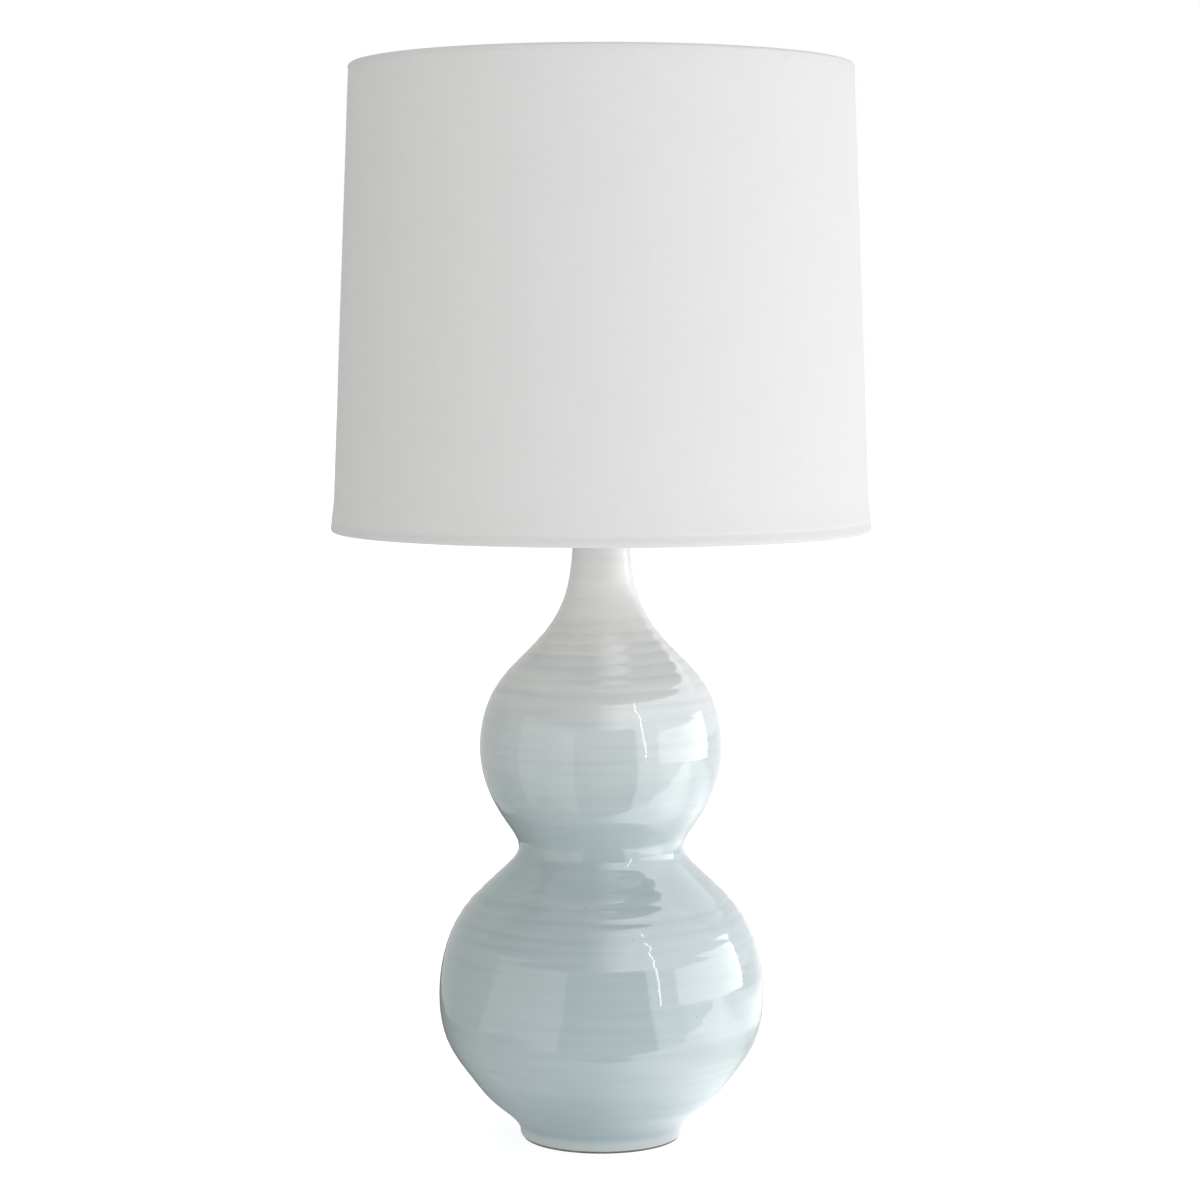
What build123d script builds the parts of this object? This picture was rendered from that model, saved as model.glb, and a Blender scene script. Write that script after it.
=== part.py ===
from build123d import *
import math
import os

# A table lamp: a glazed double gourd on a turned foot, with a tapered drum shade of white
# linen carried by a wire harp over the bulb.
# Millimetres. Z is the lamp's axis and runs up from the table, which is Z = 0. The front is -Y.

# ---------------------------------------------------------------- driving dimensions

OVERSHOOT = 1.0  # by which a cutter runs past the piece that it cuts
SMALL_GAP = 0.1  # between nested pieces of the lamp holder

# Foot and gourd. The outline is a list of (radius, height above the foot's lower edge).
PAD_THICK = 1.6
PAD_RADIUS = 60.0
FOOT_EDGE = (60.6, 0.0)
FOOT_ROUND = (62.2, 1.6)
GOURD_OUTLINE = [
    (63.2, 7.0),  # top of the foot ring
    (84.5, 28.0),
    (101.0, 47.5),
    (118.0, 73.5),
    (124.6, 108.0),  # belly of the lower bulb
    (107.5, 172.0),
    (73.0, 208.0),
    (63.4, 221.5),  # waist
    (73.5, 244.0),
    (92.9, 300.0),  # belly of the upper bulb
    (80.8, 346.0),
    (44.0, 387.5),
    (29.0, 413.0),
    (22.3, 450.0),
    (21.4, 472.0),  # rim of the neck
]
CERAMIC_WALL = 6.0
FLOOR_UNDERSIDE = 26.0  # height above the foot's lower edge
FLOOR_THICK = 8.0
CAVITY_FLOOR_RADIUS = 82.0
FOOT_RECESS_RADIUS = 50.0

# The cord's hole at the back of the foot, and its rubber bush
CORD_BORE = 3.25
CORD_HEIGHT = 8.5  # of the hole above the foot's lower edge
GROMMET_SLEEVE = 4.6
GROMMET_FLANGE = 6.4
GROMMET_FLANGE_THICK = 1.8
GROMMET_LIP = 6.0
GROMMET_LIP_THICK = 1.5
GROMMET_SLACK = 0.5  # between the lip and the round wall of the recess
SPOT_FACE_Y = 63.0
SPOT_FACE_END = 100.0
SPOT_FACE_RADIUS = 6.9

# Threaded pipe and what it clamps
PIPE_RADIUS = 5.15
PIPE_BORE = 3.4
PIPE_TAIL = 10.0  # how far the pipe hangs below the floor
PIPE_HEAD = 7.5  # how far it reaches into the lamp holder
PIPE_FIT = 0.15  # between the pipe and what is threaded onto it
PIPE_HOLE = 5.6  # in the ceramic floor
BASE_GASKET_RADIUS = 17.0
BASE_GASKET_THICK = 2.0
BASE_WASHER_RADIUS = 19.0
BASE_WASHER_THICK = 1.6
LOCK_WASHER_RADIUS = 8.8
LOCK_WASHER_THICK = 1.2
BASE_NUT_FLATS = 16.0
BASE_NUT_THICK = 4.0
NECK_GASKET_RADIUS = 20.5
NECK_GASKET_THICK = 1.5
CAP_SKIRT_RADIUS = 23.8
CAP_SKIRT_FIT = 0.7  # between the skirt and the neck
CAP_SKIRT_DROP = 4.5
CAP_HEIGHT = 7.0
NECK_TUBE_RADIUS = 7.6
NECK_TUBE_LENGTH = 29.5
LOCK_NUT_FLATS = 15.0
LOCK_NUT_THICK = 4.0

# Harp, saddle and ferrules
SADDLE_THICK = 1.6
SADDLE_WIDTH = 12.0
SADDLE_BEND = 7.0
HARP_SPACING = 28.6  # of each leg from the axis
HARP_WIDEST = 57.0
HARP_WIRE = 2.3  # radius
HARP_SEAT = 527.0
HARP_KNEE = 40.0  # heights above the seat: where the leg starts to bow out
HARP_BOW_LOW = 105.0  # where the widest run starts
HARP_BOW_HIGH = 205.0  # where it ends
HARP_BENDS = [60, 90, 90, 26]  # from the foot to the crown
HARP_EYE_TOP = 791.0
HARP_EYE_THICK = 3.0
HARP_EYE_WIDTH = 9.0
HARP_EYE_LENGTH = 28.0
CUP_RADIUS = 3.3
CUP_BORE = 2.0
CUP_LENGTH = 12.0
POST_RADIUS = 1.92
FERRULE_RADIUS = 4.9
FERRULE_BORE = 3.36
FERRULE_LENGTH = 14.0
FERRULE_GAP = 0.2

# Swivel stud, shade hub and finial
STUD_RADIUS = 3.175
STUD_SHANK = 2.53
STUD_FIT = 0.07  # between the shank and the harp's eye
STUD_PLAY = 0.2  # above and below the eye
STUD_HEAD = 4.0
STUD_SHOULDER = 9.0
STUD_SHOULDER_THICK = 2.2
STUD_LENGTH = 18.0
HUB_THICK = 1.6
HUB_RADIUS = 14.0
HUB_HOLE = 3.6
FINIAL_BORE = 3.25
FINIAL_BALL = 11.0
FINIAL_FLANGE = 7.5
FINIAL_WAIST = 5.2
FINIAL_HEIGHT = 34.0

# Lamp holder and switch
SOCKET_RADIUS = 16.6
SOCKET_WALL = 0.55
SOCKET_MOUTH = 583.0
SOCKET_CAP_WALL = 0.7
SOCKET_CAP_HEIGHT = 20.0  # from its seat to the shell's lower edge
SOCKET_CAP_LAP = 4.0  # by which the cap laps the shell
SOCKET_HUB = 7.6
SET_SCREW_RADIUS = 1.5
SET_SCREW_RISE = 2.0  # of the screw above the cap's seat
SET_SCREW_END = 10.5
LINER_THICK = 0.7
FLAT_X = 12.4  # of the flats that hold the terminal screws
FLAT_RISE = 7.0  # of the terminal screws above the block's lower face
TERMINAL_RADIUS = 2.8
TERMINAL_THICK = 1.8
SWITCH_HEIGHT = 548.0
SPINDLE_RADIUS = 2.0
SPINDLE_FIT = 0.06
SPINDLE_HOLE = 3.4
SPINDLE_IN = -5.0  # the spindle's two ends, along Y
SPINDLE_OUT = -29.0
KNOB_RADIUS = 6.0
KNOB_LENGTH = 13.0
KNOB_GAP = 3.0  # between the knob and the shell
KNOB_FLUTES = 8

# Bulb
BULB_RADIUS = 30.0
BULB_LENGTH = 108.0
BULB_FLARE = 19.5  # radius of the glass halfway up its flare
BULB_FLARE_RISE = 20.0
BULB_WALL = 0.8
BULB_BASE_RADIUS = 13.0
BULB_BASE_WALL = 0.5
BULB_BASE_LENGTH = 23.0
BULB_IN_BASE = 3.0  # how far the glass reaches down into the base
BULB_DEPTH = 22.2  # of the bulb's tip below the socket's mouth
BASE_FUNNEL_RADIUS = 9.4
CONTACT_RADIUS = 4.4
CONTACT_THICK = 1.0

# Shade
SHADE_BOTTOM_RADIUS = 203.2
SHADE_TOP_RADIUS = 189.4
SHADE_BOTTOM = 467.6
SHADE_HEIGHT = 349.6
FABRIC_THICK = 0.6
LINING_THICK = 0.5
RING_ROOM = 1.25  # radius of the round space that the linen leaves for each ring
RING_WIRE = 1.2  # radius
HEM_TURN = 14.0  # how far the linen is turned over inside
HEM_SLOPE = 8.0  # where the turned linen has come back to the lining
HEM_STRAIGHT = 1.6  # past the ring, before the turned linen starts to slope
SPIDER_WIRE = 1.5  # radius
SPIDER_SNIP = 0.4  # by which the turned linen is cut clear of each arm
SPIDER_SNIP_REACH = 12.0
SPIDER_ANGLES = (90, 210, 330)
SPIDER_OVERLAP = 5.0  # of each arm on the hub
SPIDER_LEVEL_RUN = 6.0  # past the hub's rim
SPIDER_SLOPE_RUN = 30.0
SPIDER_BENDS = [10, 14]
SPIDER_SAG = 0.4  # of the arm below the ring at the end of its slope
SPIDER_SHORT = 0.5  # of the arm's end from the middle of the ring's wire

# ---------------------------------------------------------------- levels worked out from these

FOOT = PAD_THICK
FLOOR_LEVEL = FOOT + FLOOR_UNDERSIDE
FLOOR_TOP = FLOOR_LEVEL + FLOOR_THICK
CORD_LEVEL = FOOT + CORD_HEIGHT
NECK_RADIUS = GOURD_OUTLINE[-1][0]
NECK_TOP = FOOT + GOURD_OUTLINE[-1][1]
CAP_SEAT = NECK_TOP + NECK_GASKET_THICK
NECK_TUBE_SEAT = CAP_SEAT + CAP_HEIGHT
SADDLE_SEAT = NECK_TUBE_SEAT + NECK_TUBE_LENGTH
LOCK_NUT_SEAT = SADDLE_SEAT + SADDLE_THICK
SOCKET_SEAT = LOCK_NUT_SEAT + LOCK_NUT_THICK
PIPE_TOP = SOCKET_SEAT + PIPE_HEAD
PIPE_BOTTOM = FLOOR_LEVEL - PIPE_TAIL
THREAD_BORE = PIPE_RADIUS + PIPE_FIT
BULB_TIP = SOCKET_MOUTH - BULB_DEPTH
EYE_LOW = HARP_EYE_TOP - HARP_EYE_THICK
HUB_SEAT = HARP_EYE_TOP + STUD_PLAY + STUD_SHOULDER_THICK
FINIAL_SEAT = HUB_SEAT + HUB_THICK


# ---------------------------------------------------------------- shared ways of making a piece


def at(radius, level):
    """A point of an outline, in the half plane that is turned about Z."""
    return (radius, 0, level)


def arched(start, end, rise):
    """An arc between two outline points that bulges by rise to the left of the way it runs."""
    start, end = Vector(start), Vector(end)
    run = end - start
    left = Vector(-run.Z, 0, run.X).normalized()
    return ThreePointArc(start, (start + end) / 2 + left * rise, end)


def turned(lines):
    """The solid that a closed outline makes when it is turned about Z."""
    outline = [edge for line in lines for edge in line.edges()]
    return revolve(make_face(outline), Axis.Z)


def turned_polygon(points):
    """The same, for an outline of straight lines through (radius, level) points."""
    return turned([Polyline(*[at(r, z) for r, z in points], close=True)])


def washer(inner, outer, low, high):
    """A flat ring about Z."""
    return turned_polygon([(inner, low), (outer, low), (outer, high), (inner, high)])


def rod(radius, start, end):
    """A round bar from one point to another."""
    run = Vector(end) - Vector(start)
    plane = Plane(origin=start, z_dir=run)
    return extrude(plane * Circle(radius), run.length)


def upright(radius, low, high, x=0):
    """A round bar parallel to Z."""
    return rod(radius, (x, 0, low), (x, 0, high))


def hex_nut(across_flats, bore, low, thick):
    """A six-sided nut about Z, standing on the level low."""
    blank = extrude(RegularPolygon(across_flats / 2, 6, major_radius=False), thick)
    return Pos(0, 0, low) * blank - upright(bore, low - OVERSHOOT, low + thick + OVERSHOOT)


def bent_wire(points, radii, radius):
    """A round wire along straight runs joined by tangent bends."""
    path = FilletPolyline(*points, radius=radii)
    section = Plane(origin=path @ 0, z_dir=path % 0) * Circle(radius)
    return sweep(section, path=path)


def save(name, shape):
    """Writes one sub-part under its own name."""
    export_step(shape, f"parts/{name}.step")
    print(f"{name}: {len(shape.solids())} solid(s), {shape.volume / 1000:.2f} cm3")


os.makedirs("parts", exist_ok=True)


# ---------------------------------------------------------------- foot and gourd


def gourd_curve(inset):
    """The gourd's side as a smooth curve, or the same curve moved inwards by the wall."""
    side = Spline(*[at(r, FOOT + h) for r, h in GOURD_OUTLINE], tangents=[(0.5, 0, 1), (0, 0, 1)])
    if not inset:
        return side
    inner = [Vector(at(CAVITY_FLOOR_RADIUS, FLOOR_TOP))]
    for r, h in GOURD_OUTLINE[2:]:
        here = Vector(at(r, FOOT + h))
        along = side.tangent_at(side.param_at_point(here))
        inner.append(here + Vector(-along.Z, 0, along.X).normalized() * inset)
    inner[-1] = Vector(at(inner[-1].X, NECK_TOP))
    return Spline(*inner, tangents=[(1, 0, 1), (0, 0, 1)])


def along_cord(radius, start, end):
    """A round bar along the cord's way out of the foot, between two distances from the axis."""
    return rod(radius, (0, start, CORD_LEVEL), (0, end, CORD_LEVEL))


def make_gourd_body():
    """Hollow stoneware: a foot ring, a floor with the pipe's hole, two bulbs and a neck."""
    side = gourd_curve(0)
    foot_round = at(FOOT_ROUND[0], FOOT + FOOT_ROUND[1])
    outer = turned(
        [
            Polyline(at(0, FOOT), at(FOOT_EDGE[0], FOOT), foot_round, side @ 0),
            side,
            Polyline(side @ 1, at(0, NECK_TOP), at(0, FOOT)),
        ]
    )
    inside = gourd_curve(CERAMIC_WALL)
    cavity = turned(
        [
            Line(at(0, FLOOR_TOP), inside @ 0),
            inside,
            Polyline(inside @ 1, at(0, NECK_TOP), at(0, FLOOR_TOP)),
        ]
    )
    recess = upright(FOOT_RECESS_RADIUS, FOOT, FLOOR_LEVEL)
    pipe_hole = upright(PIPE_HOLE, FLOOR_LEVEL, FLOOR_TOP)
    cord_hole = along_cord(GROMMET_SLEEVE, 0, SPOT_FACE_Y + OVERSHOOT)
    spot_face = along_cord(SPOT_FACE_RADIUS, SPOT_FACE_Y, SPOT_FACE_END)
    return outer - cavity - recess - pipe_hole - cord_hole - spot_face


def make_cord_grommet():
    """A rubber bush snapped into the hole at the back of the foot, with a bore for the cord."""
    lip_end = FOOT_RECESS_RADIUS - GROMMET_SLACK
    lip_start = lip_end - GROMMET_LIP_THICK
    flange_end = SPOT_FACE_Y + GROMMET_FLANGE_THICK
    lip = along_cord(GROMMET_LIP, lip_start, lip_end)
    sleeve = along_cord(GROMMET_SLEEVE, lip_start, flange_end)
    flange = along_cord(GROMMET_FLANGE, SPOT_FACE_Y, flange_end)
    bore = along_cord(CORD_BORE, lip_start - OVERSHOOT, flange_end + OVERSHOOT)
    return lip + sleeve + flange - bore


save("gourd_body", make_gourd_body())
save("foot_pad", upright(PAD_RADIUS, 0, PAD_THICK))
save("cord_grommet", make_cord_grommet())

# ---------------------------------------------------------------- pipe and its clamping stack

GASKET_LOW = FLOOR_LEVEL - BASE_GASKET_THICK
WASHER_LOW = GASKET_LOW - BASE_WASHER_THICK
LOCK_WASHER_LOW = WASHER_LOW - LOCK_WASHER_THICK
NUT_LOW = LOCK_WASHER_LOW - BASE_NUT_THICK


def make_vase_cap():
    """A spun cap that closes the neck: a short skirt outside it, a domed top and a flat boss."""
    skirt_inner = NECK_RADIUS + CAP_SKIRT_FIT
    skirt_low = CAP_SEAT - CAP_SKIRT_DROP
    boss = NECK_TUBE_RADIUS + 1.5
    edge_height, bulge = 1.2, 1.2
    shoulder = at(CAP_SKIRT_RADIUS, CAP_SEAT + edge_height)
    return turned(
        [
            Polyline(
                at(boss, NECK_TUBE_SEAT),
                at(THREAD_BORE, NECK_TUBE_SEAT),
                at(THREAD_BORE, CAP_SEAT),
                at(skirt_inner, CAP_SEAT),
                at(skirt_inner, skirt_low),
                at(CAP_SKIRT_RADIUS, skirt_low),
                shoulder,
            ),
            arched(shoulder, at(boss, NECK_TUBE_SEAT), -bulge),
        ]
    )


def make_neck_tube():
    """A turned spacer with a bead at each end."""
    low, high = NECK_TUBE_SEAT, SADDLE_SEAT
    bead, slope = 2.4, 1.0
    beaded = NECK_TUBE_RADIUS + 1.4
    return turned_polygon(
        [
            (THREAD_BORE, low),
            (beaded, low),
            (beaded, low + bead),
            (NECK_TUBE_RADIUS, low + bead + slope),
            (NECK_TUBE_RADIUS, high - bead - slope),
            (beaded, high - bead),
            (beaded, high),
            (THREAD_BORE, high),
        ]
    )


save("lamp_pipe", washer(PIPE_BORE, PIPE_RADIUS, PIPE_BOTTOM, PIPE_TOP))
save("base_gasket", washer(THREAD_BORE, BASE_GASKET_RADIUS, GASKET_LOW, FLOOR_LEVEL))
save("base_washer", washer(THREAD_BORE, BASE_WASHER_RADIUS, WASHER_LOW, GASKET_LOW))
save("base_lock_washer", washer(THREAD_BORE, LOCK_WASHER_RADIUS, LOCK_WASHER_LOW, WASHER_LOW))
save("base_nut", hex_nut(BASE_NUT_FLATS, THREAD_BORE, NUT_LOW, BASE_NUT_THICK))
save("neck_gasket", washer(THREAD_BORE, NECK_GASKET_RADIUS, NECK_TOP, CAP_SEAT))
save("vase_cap", make_vase_cap())
save("neck_tube", make_neck_tube())
save("pipe_lock_nut", hex_nut(LOCK_NUT_FLATS, THREAD_BORE, LOCK_NUT_SEAT, LOCK_NUT_THICK))

# ---------------------------------------------------------------- harp and its saddle

CUP_TOP = HARP_SEAT + CUP_LENGTH


def make_harp_saddle():
    """A steel strip clamped on the pipe, turned up at both ends, with a post on each end."""
    tab = HARP_SPACING
    middle = SADDLE_SEAT + SADDLE_THICK / 2
    path = FilletPolyline(
        (-tab, 0, HARP_SEAT), (-tab, 0, middle), (tab, 0, middle), (tab, 0, HARP_SEAT), radius=SADDLE_BEND
    )
    section = Plane(origin=path @ 0, z_dir=path % 0) * Rectangle(SADDLE_THICK, SADDLE_WIDTH)
    strip = sweep(section, path=path)
    strip -= upright(THREAD_BORE, middle - SADDLE_THICK, middle + SADDLE_THICK)
    post_root, post_short = 2.0, 1.0
    for side in (-1, 1):
        strip += upright(POST_RADIUS, HARP_SEAT - post_root, CUP_TOP - post_short, side * tab)
    return strip


def make_harp():
    """One bowed wire: a cup at each foot, wide at the bulb, and a flattened eye at the top."""
    eye_level = HARP_EYE_TOP - HARP_EYE_THICK / 2
    right = [
        (HARP_SPACING, 0, CUP_TOP),
        (HARP_SPACING, 0, HARP_SEAT + HARP_KNEE),
        (HARP_WIDEST, 0, HARP_SEAT + HARP_BOW_LOW),
        (HARP_WIDEST, 0, HARP_SEAT + HARP_BOW_HIGH),
        (HARP_SPACING, 0, eye_level),
    ]
    left = [(-x, y, z) for x, y, z in reversed(right)]
    wire = bent_wire(right + left, HARP_BENDS + HARP_BENDS[::-1], HARP_WIRE)
    crimp, cup_end = 2.0, 0.5
    for side in (-1, 1):
        x = side * HARP_SPACING
        wire += upright(CUP_RADIUS, HARP_SEAT, CUP_TOP + crimp, x)
        wire -= upright(CUP_BORE, HARP_SEAT - OVERSHOOT, CUP_TOP - cup_end, x)
    pressed = HARP_EYE_LENGTH - 2
    wire -= Pos(0, 0, eye_level) * Box(pressed, 3 * HARP_WIRE, 3 * HARP_WIRE)
    eye = SlotCenterToCenter(HARP_EYE_LENGTH - HARP_EYE_WIDTH, HARP_EYE_WIDTH)
    wire += extrude(Pos(0, 0, EYE_LOW) * eye, HARP_EYE_THICK)
    return wire - upright(STUD_SHANK + STUD_FIT, EYE_LOW - OVERSHOOT, HARP_EYE_TOP + OVERSHOOT)


def make_ferrule(side):
    """A sleeve that slides down over a harp leg and its post, and locks them together."""
    low = HARP_SEAT + FERRULE_GAP
    high = low + FERRULE_LENGTH
    rim, step, chamfer = 2.0, 0.6, 0.8
    blank = turned_polygon(
        [
            (FERRULE_BORE, low),
            (FERRULE_RADIUS, low),
            (FERRULE_RADIUS, low + rim),
            (FERRULE_RADIUS - step, low + rim + step),
            (FERRULE_RADIUS - step, high - chamfer),
            (FERRULE_RADIUS - 2 * step, high),
            (FERRULE_BORE, high),
        ]
    )
    return Pos(side * HARP_SPACING, 0, 0) * blank


def make_harp_stud():
    """The swivel post that carries the shade: a peened head, a shank, a shoulder and a stud."""
    head_top = EYE_LOW - STUD_PLAY
    head_round = 1.0
    head_low = head_top - 2 * head_round
    shoulder_low = HARP_EYE_TOP + STUD_PLAY
    shoulder_round, tip_round = 0.6, 0.8
    stud_top = HUB_SEAT + STUD_LENGTH
    return turned_polygon(
        [
            (0, head_low),
            (STUD_HEAD - head_round, head_low),
            (STUD_HEAD, head_low + head_round),
            (STUD_HEAD, head_top),
            (STUD_SHANK, head_top),
            (STUD_SHANK, shoulder_low),
            (STUD_SHOULDER, shoulder_low),
            (STUD_SHOULDER, HUB_SEAT - shoulder_round),
            (STUD_SHOULDER - shoulder_round, HUB_SEAT),
            (STUD_RADIUS, HUB_SEAT),
            (STUD_RADIUS, stud_top - tip_round),
            (STUD_RADIUS - tip_round, stud_top),
            (0, stud_top),
        ]
    )


save("harp_saddle", make_harp_saddle())
save("harp", make_harp())
save("ferrule_left", make_ferrule(-1))
save("ferrule_right", make_ferrule(1))
save("harp_stud", make_harp_stud())

# ---------------------------------------------------------------- lamp holder and its switch

SHELL_LOW = SOCKET_SEAT + SOCKET_CAP_HEIGHT
CAP_RIM = SOCKET_RADIUS + SMALL_GAP + SOCKET_CAP_WALL
CAP_TOP = SHELL_LOW + SOCKET_CAP_LAP
SCREW_LEVEL = SOCKET_SEAT + SET_SCREW_RISE
BODY_LOW = SHELL_LOW + 1.0
BODY_TOP = BULB_TIP - 3.3
LINER_OUTER = SOCKET_RADIUS - SOCKET_WALL - SMALL_GAP
LINER_INNER = LINER_OUTER - LINER_THICK
BODY_RADIUS = LINER_INNER - SMALL_GAP
TERMINAL_LEVEL = BODY_LOW + FLAT_RISE


def along_switch(radius, start, end, x=0, rise=0):
    """A round bar along the switch's axis, between two places on Y."""
    return rod(radius, (x, start, SWITCH_HEIGHT + rise), (x, end, SWITCH_HEIGHT + rise))


def spindle_clearance():
    """The round hole through the front of the socket for the switch's spindle."""
    return along_switch(SPINDLE_HOLE, 0, -2 * SOCKET_RADIUS)


def make_socket_cap():
    """The domed lower half of the metal shell, with the hub that is threaded onto the pipe."""
    dome_low, dome_high = SOCKET_SEAT + 4.0, SHELL_LOW - 3.0
    ledge = SOCKET_SEAT + 7.0
    bulge_out, bulge_in = 2.4, 2.0
    hub_top = at(SOCKET_HUB + 1, ledge)
    rim_inner = CAP_RIM - SOCKET_CAP_WALL
    blank = turned(
        [
            Polyline(
                at(SOCKET_HUB, dome_low),
                at(SOCKET_HUB, SOCKET_SEAT),
                at(THREAD_BORE, SOCKET_SEAT),
                at(THREAD_BORE, ledge),
                hub_top,
            ),
            arched(hub_top, at(rim_inner, dome_high), -bulge_in),
            Polyline(
                at(rim_inner, dome_high),
                at(rim_inner, CAP_TOP),
                at(CAP_RIM, CAP_TOP),
                at(CAP_RIM, dome_high),
            ),
            arched(at(CAP_RIM, dome_high), at(SOCKET_HUB, dome_low), bulge_out),
        ]
    )
    past_hub = SOCKET_HUB + 4
    return blank - rod(SET_SCREW_RADIUS + SMALL_GAP, (0, 0, SCREW_LEVEL), (0, past_hub, SCREW_LEVEL))


def make_socket_shell():
    """The straight upper half of the metal shell, beaded round its mouth."""
    inner = SOCKET_RADIUS - SOCKET_WALL
    bead, middle, half, slope = 0.7, SOCKET_MOUTH - 4.5, 0.5, 1.0
    blank = turned_polygon(
        [
            (inner, SHELL_LOW),
            (SOCKET_RADIUS, SHELL_LOW),
            (SOCKET_RADIUS, middle - half - slope),
            (SOCKET_RADIUS + bead, middle - half),
            (SOCKET_RADIUS + bead, middle + half),
            (SOCKET_RADIUS, middle + half + slope),
            (SOCKET_RADIUS, SOCKET_MOUTH),
            (inner, SOCKET_MOUTH),
        ]
    )
    return blank - spindle_clearance()


def make_socket_insulator():
    """The paper sleeve that lines the metal shell."""
    low, high = SHELL_LOW + 0.5, SOCKET_MOUTH - 2.5
    return washer(LINER_INNER, LINER_OUTER, low, high) - spindle_clearance()


def make_socket_body():
    """The moulded block inside the shell, bored for the switch, with two flats for terminals."""
    block = upright(BODY_RADIUS, BODY_LOW, BODY_TOP)
    flat_width, flat_height = 9.0, 10.0
    for side in (-1, 1):
        reach = BODY_RADIUS - FLAT_X
        slab = Box(2 * reach, flat_width, flat_height)
        block -= Pos(side * (FLAT_X + reach), 0, TERMINAL_LEVEL) * slab
    return block - along_switch(SPINDLE_RADIUS + SPINDLE_FIT, 0, -BODY_RADIUS - 5)


def make_terminal_screws():
    """Two round-headed screws, one on each flat, with a slot across the head."""
    slot_deep, slot_wide = 0.7, 0.8
    screws = []
    for side in (-1, 1):
        outside = FLAT_X + TERMINAL_THICK
        head = rod(TERMINAL_RADIUS, (side * FLAT_X, 0, TERMINAL_LEVEL), (side * outside, 0, TERMINAL_LEVEL))
        slot = Box(2 * slot_deep, 3 * TERMINAL_RADIUS, slot_wide)
        screws.append(head - Pos(side * outside, 0, TERMINAL_LEVEL) * slot)
    return Compound(children=screws)


def make_screw_shell():
    """The metal cup that takes the bulb's base."""
    fit, wall, hole = 0.3, 0.5, 6.5
    inner = BULB_BASE_RADIUS + fit
    high = SOCKET_MOUTH - 1.5
    return turned_polygon(
        [
            (hole, BODY_TOP),
            (inner + wall, BODY_TOP),
            (inner + wall, high),
            (inner, high),
            (inner, BODY_TOP + wall),
            (hole, BODY_TOP + wall),
        ]
    )


def make_centre_contact():
    """A sprung leaf, lying on the block and bent up to meet the bulb's tip."""
    thick, width = 0.4, 5.0
    under = BULB_TIP - 0.3 - thick
    flat_end, foot_end, knee, tip = -5.0, -2.4, 0.7, 3.5
    mitre = 0.2
    leaf = Polyline(
        (flat_end, 0, BODY_TOP),
        (flat_end, 0, BODY_TOP + thick),
        (foot_end - mitre, 0, BODY_TOP + thick),
        (knee - mitre, 0, under + thick),
        (tip, 0, under + thick),
        (tip, 0, under),
        (knee, 0, under),
        (foot_end, 0, BODY_TOP),
        close=True,
    )
    return extrude(make_face(leaf), width / 2, both=True)


def make_switch_knob():
    """A moulded knob pressed on the spindle: a round collar and a grip with hollow flutes."""
    start = -(SOCKET_RADIUS + KNOB_GAP)
    end = start - KNOB_LENGTH
    collar_length, collar_step = 2.5, 1.2
    grip_start = start - collar_length
    flute_radius, flute_proud, flute_margin = 1.5, 0.7, 2.0
    knob = along_switch(KNOB_RADIUS - collar_step, start, grip_start)
    knob += along_switch(KNOB_RADIUS, grip_start, end)
    for k in range(KNOB_FLUTES):
        turn = 2 * math.pi * k / KNOB_FLUTES
        x = (KNOB_RADIUS + flute_proud) * math.cos(turn)
        rise = (KNOB_RADIUS + flute_proud) * math.sin(turn)
        knob -= along_switch(flute_radius, grip_start - flute_margin, end - OVERSHOOT, x, rise)
    return knob - along_switch(SPINDLE_RADIUS, start + OVERSHOOT, SPINDLE_OUT)


save("socket_cap", make_socket_cap())
set_screw = rod(SET_SCREW_RADIUS, (0, THREAD_BORE, SCREW_LEVEL), (0, SET_SCREW_END, SCREW_LEVEL))
save("socket_set_screw", set_screw)
save("socket_shell", make_socket_shell())
save("socket_insulator", make_socket_insulator())
save("socket_body", make_socket_body())
save("terminal_screws", make_terminal_screws())
save("screw_shell", make_screw_shell())
save("centre_contact", make_centre_contact())
save("switch_spindle", along_switch(SPINDLE_RADIUS, SPINDLE_IN, SPINDLE_OUT))
save("switch_knob", make_switch_knob())

# ---------------------------------------------------------------- bulb

BASE_TOP = BULB_TIP + BULB_BASE_LENGTH
GLASS_TOP = BULB_TIP + BULB_LENGTH
BASE_INNER = BULB_BASE_RADIUS - BULB_BASE_WALL
CONTACT_TOP = BULB_TIP + CONTACT_THICK
FUNNEL_LOW = BULB_TIP + 2.4  # where the metal base meets the black glass round the contact
FUNNEL_WALL = 0.5


def bulb_curve(inset):
    """The glass from its neck in the base, up the flare and over the globe, as three lines."""
    globe = GLASS_TOP - BULB_RADIUS
    neck = BASE_INNER - SMALL_GAP - inset
    radius = BULB_RADIUS - inset
    flare = at(BULB_FLARE - inset, BASE_TOP + BULB_FLARE_RISE)
    straight = Line(at(neck, BASE_TOP - BULB_IN_BASE), at(neck, BASE_TOP))
    side = Spline(straight @ 1, flare, at(radius, globe), tangents=[(0, 0, 1), (0, 0, 1)])
    slant = radius * math.sin(math.radians(45))
    top = ThreePointArc(at(radius, globe), at(slant, globe + slant), at(0, globe + radius))
    return [straight, side, top]


def make_bulb_glass():
    """A thin blown globe, open at its neck."""
    outer = bulb_curve(0)
    inner = bulb_curve(BULB_WALL)
    lip = Line(inner[0] @ 0, outer[0] @ 0)
    crown = Line(outer[-1] @ 1, inner[-1] @ 1)
    return turned(outer + inner + [lip, crown])


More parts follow.
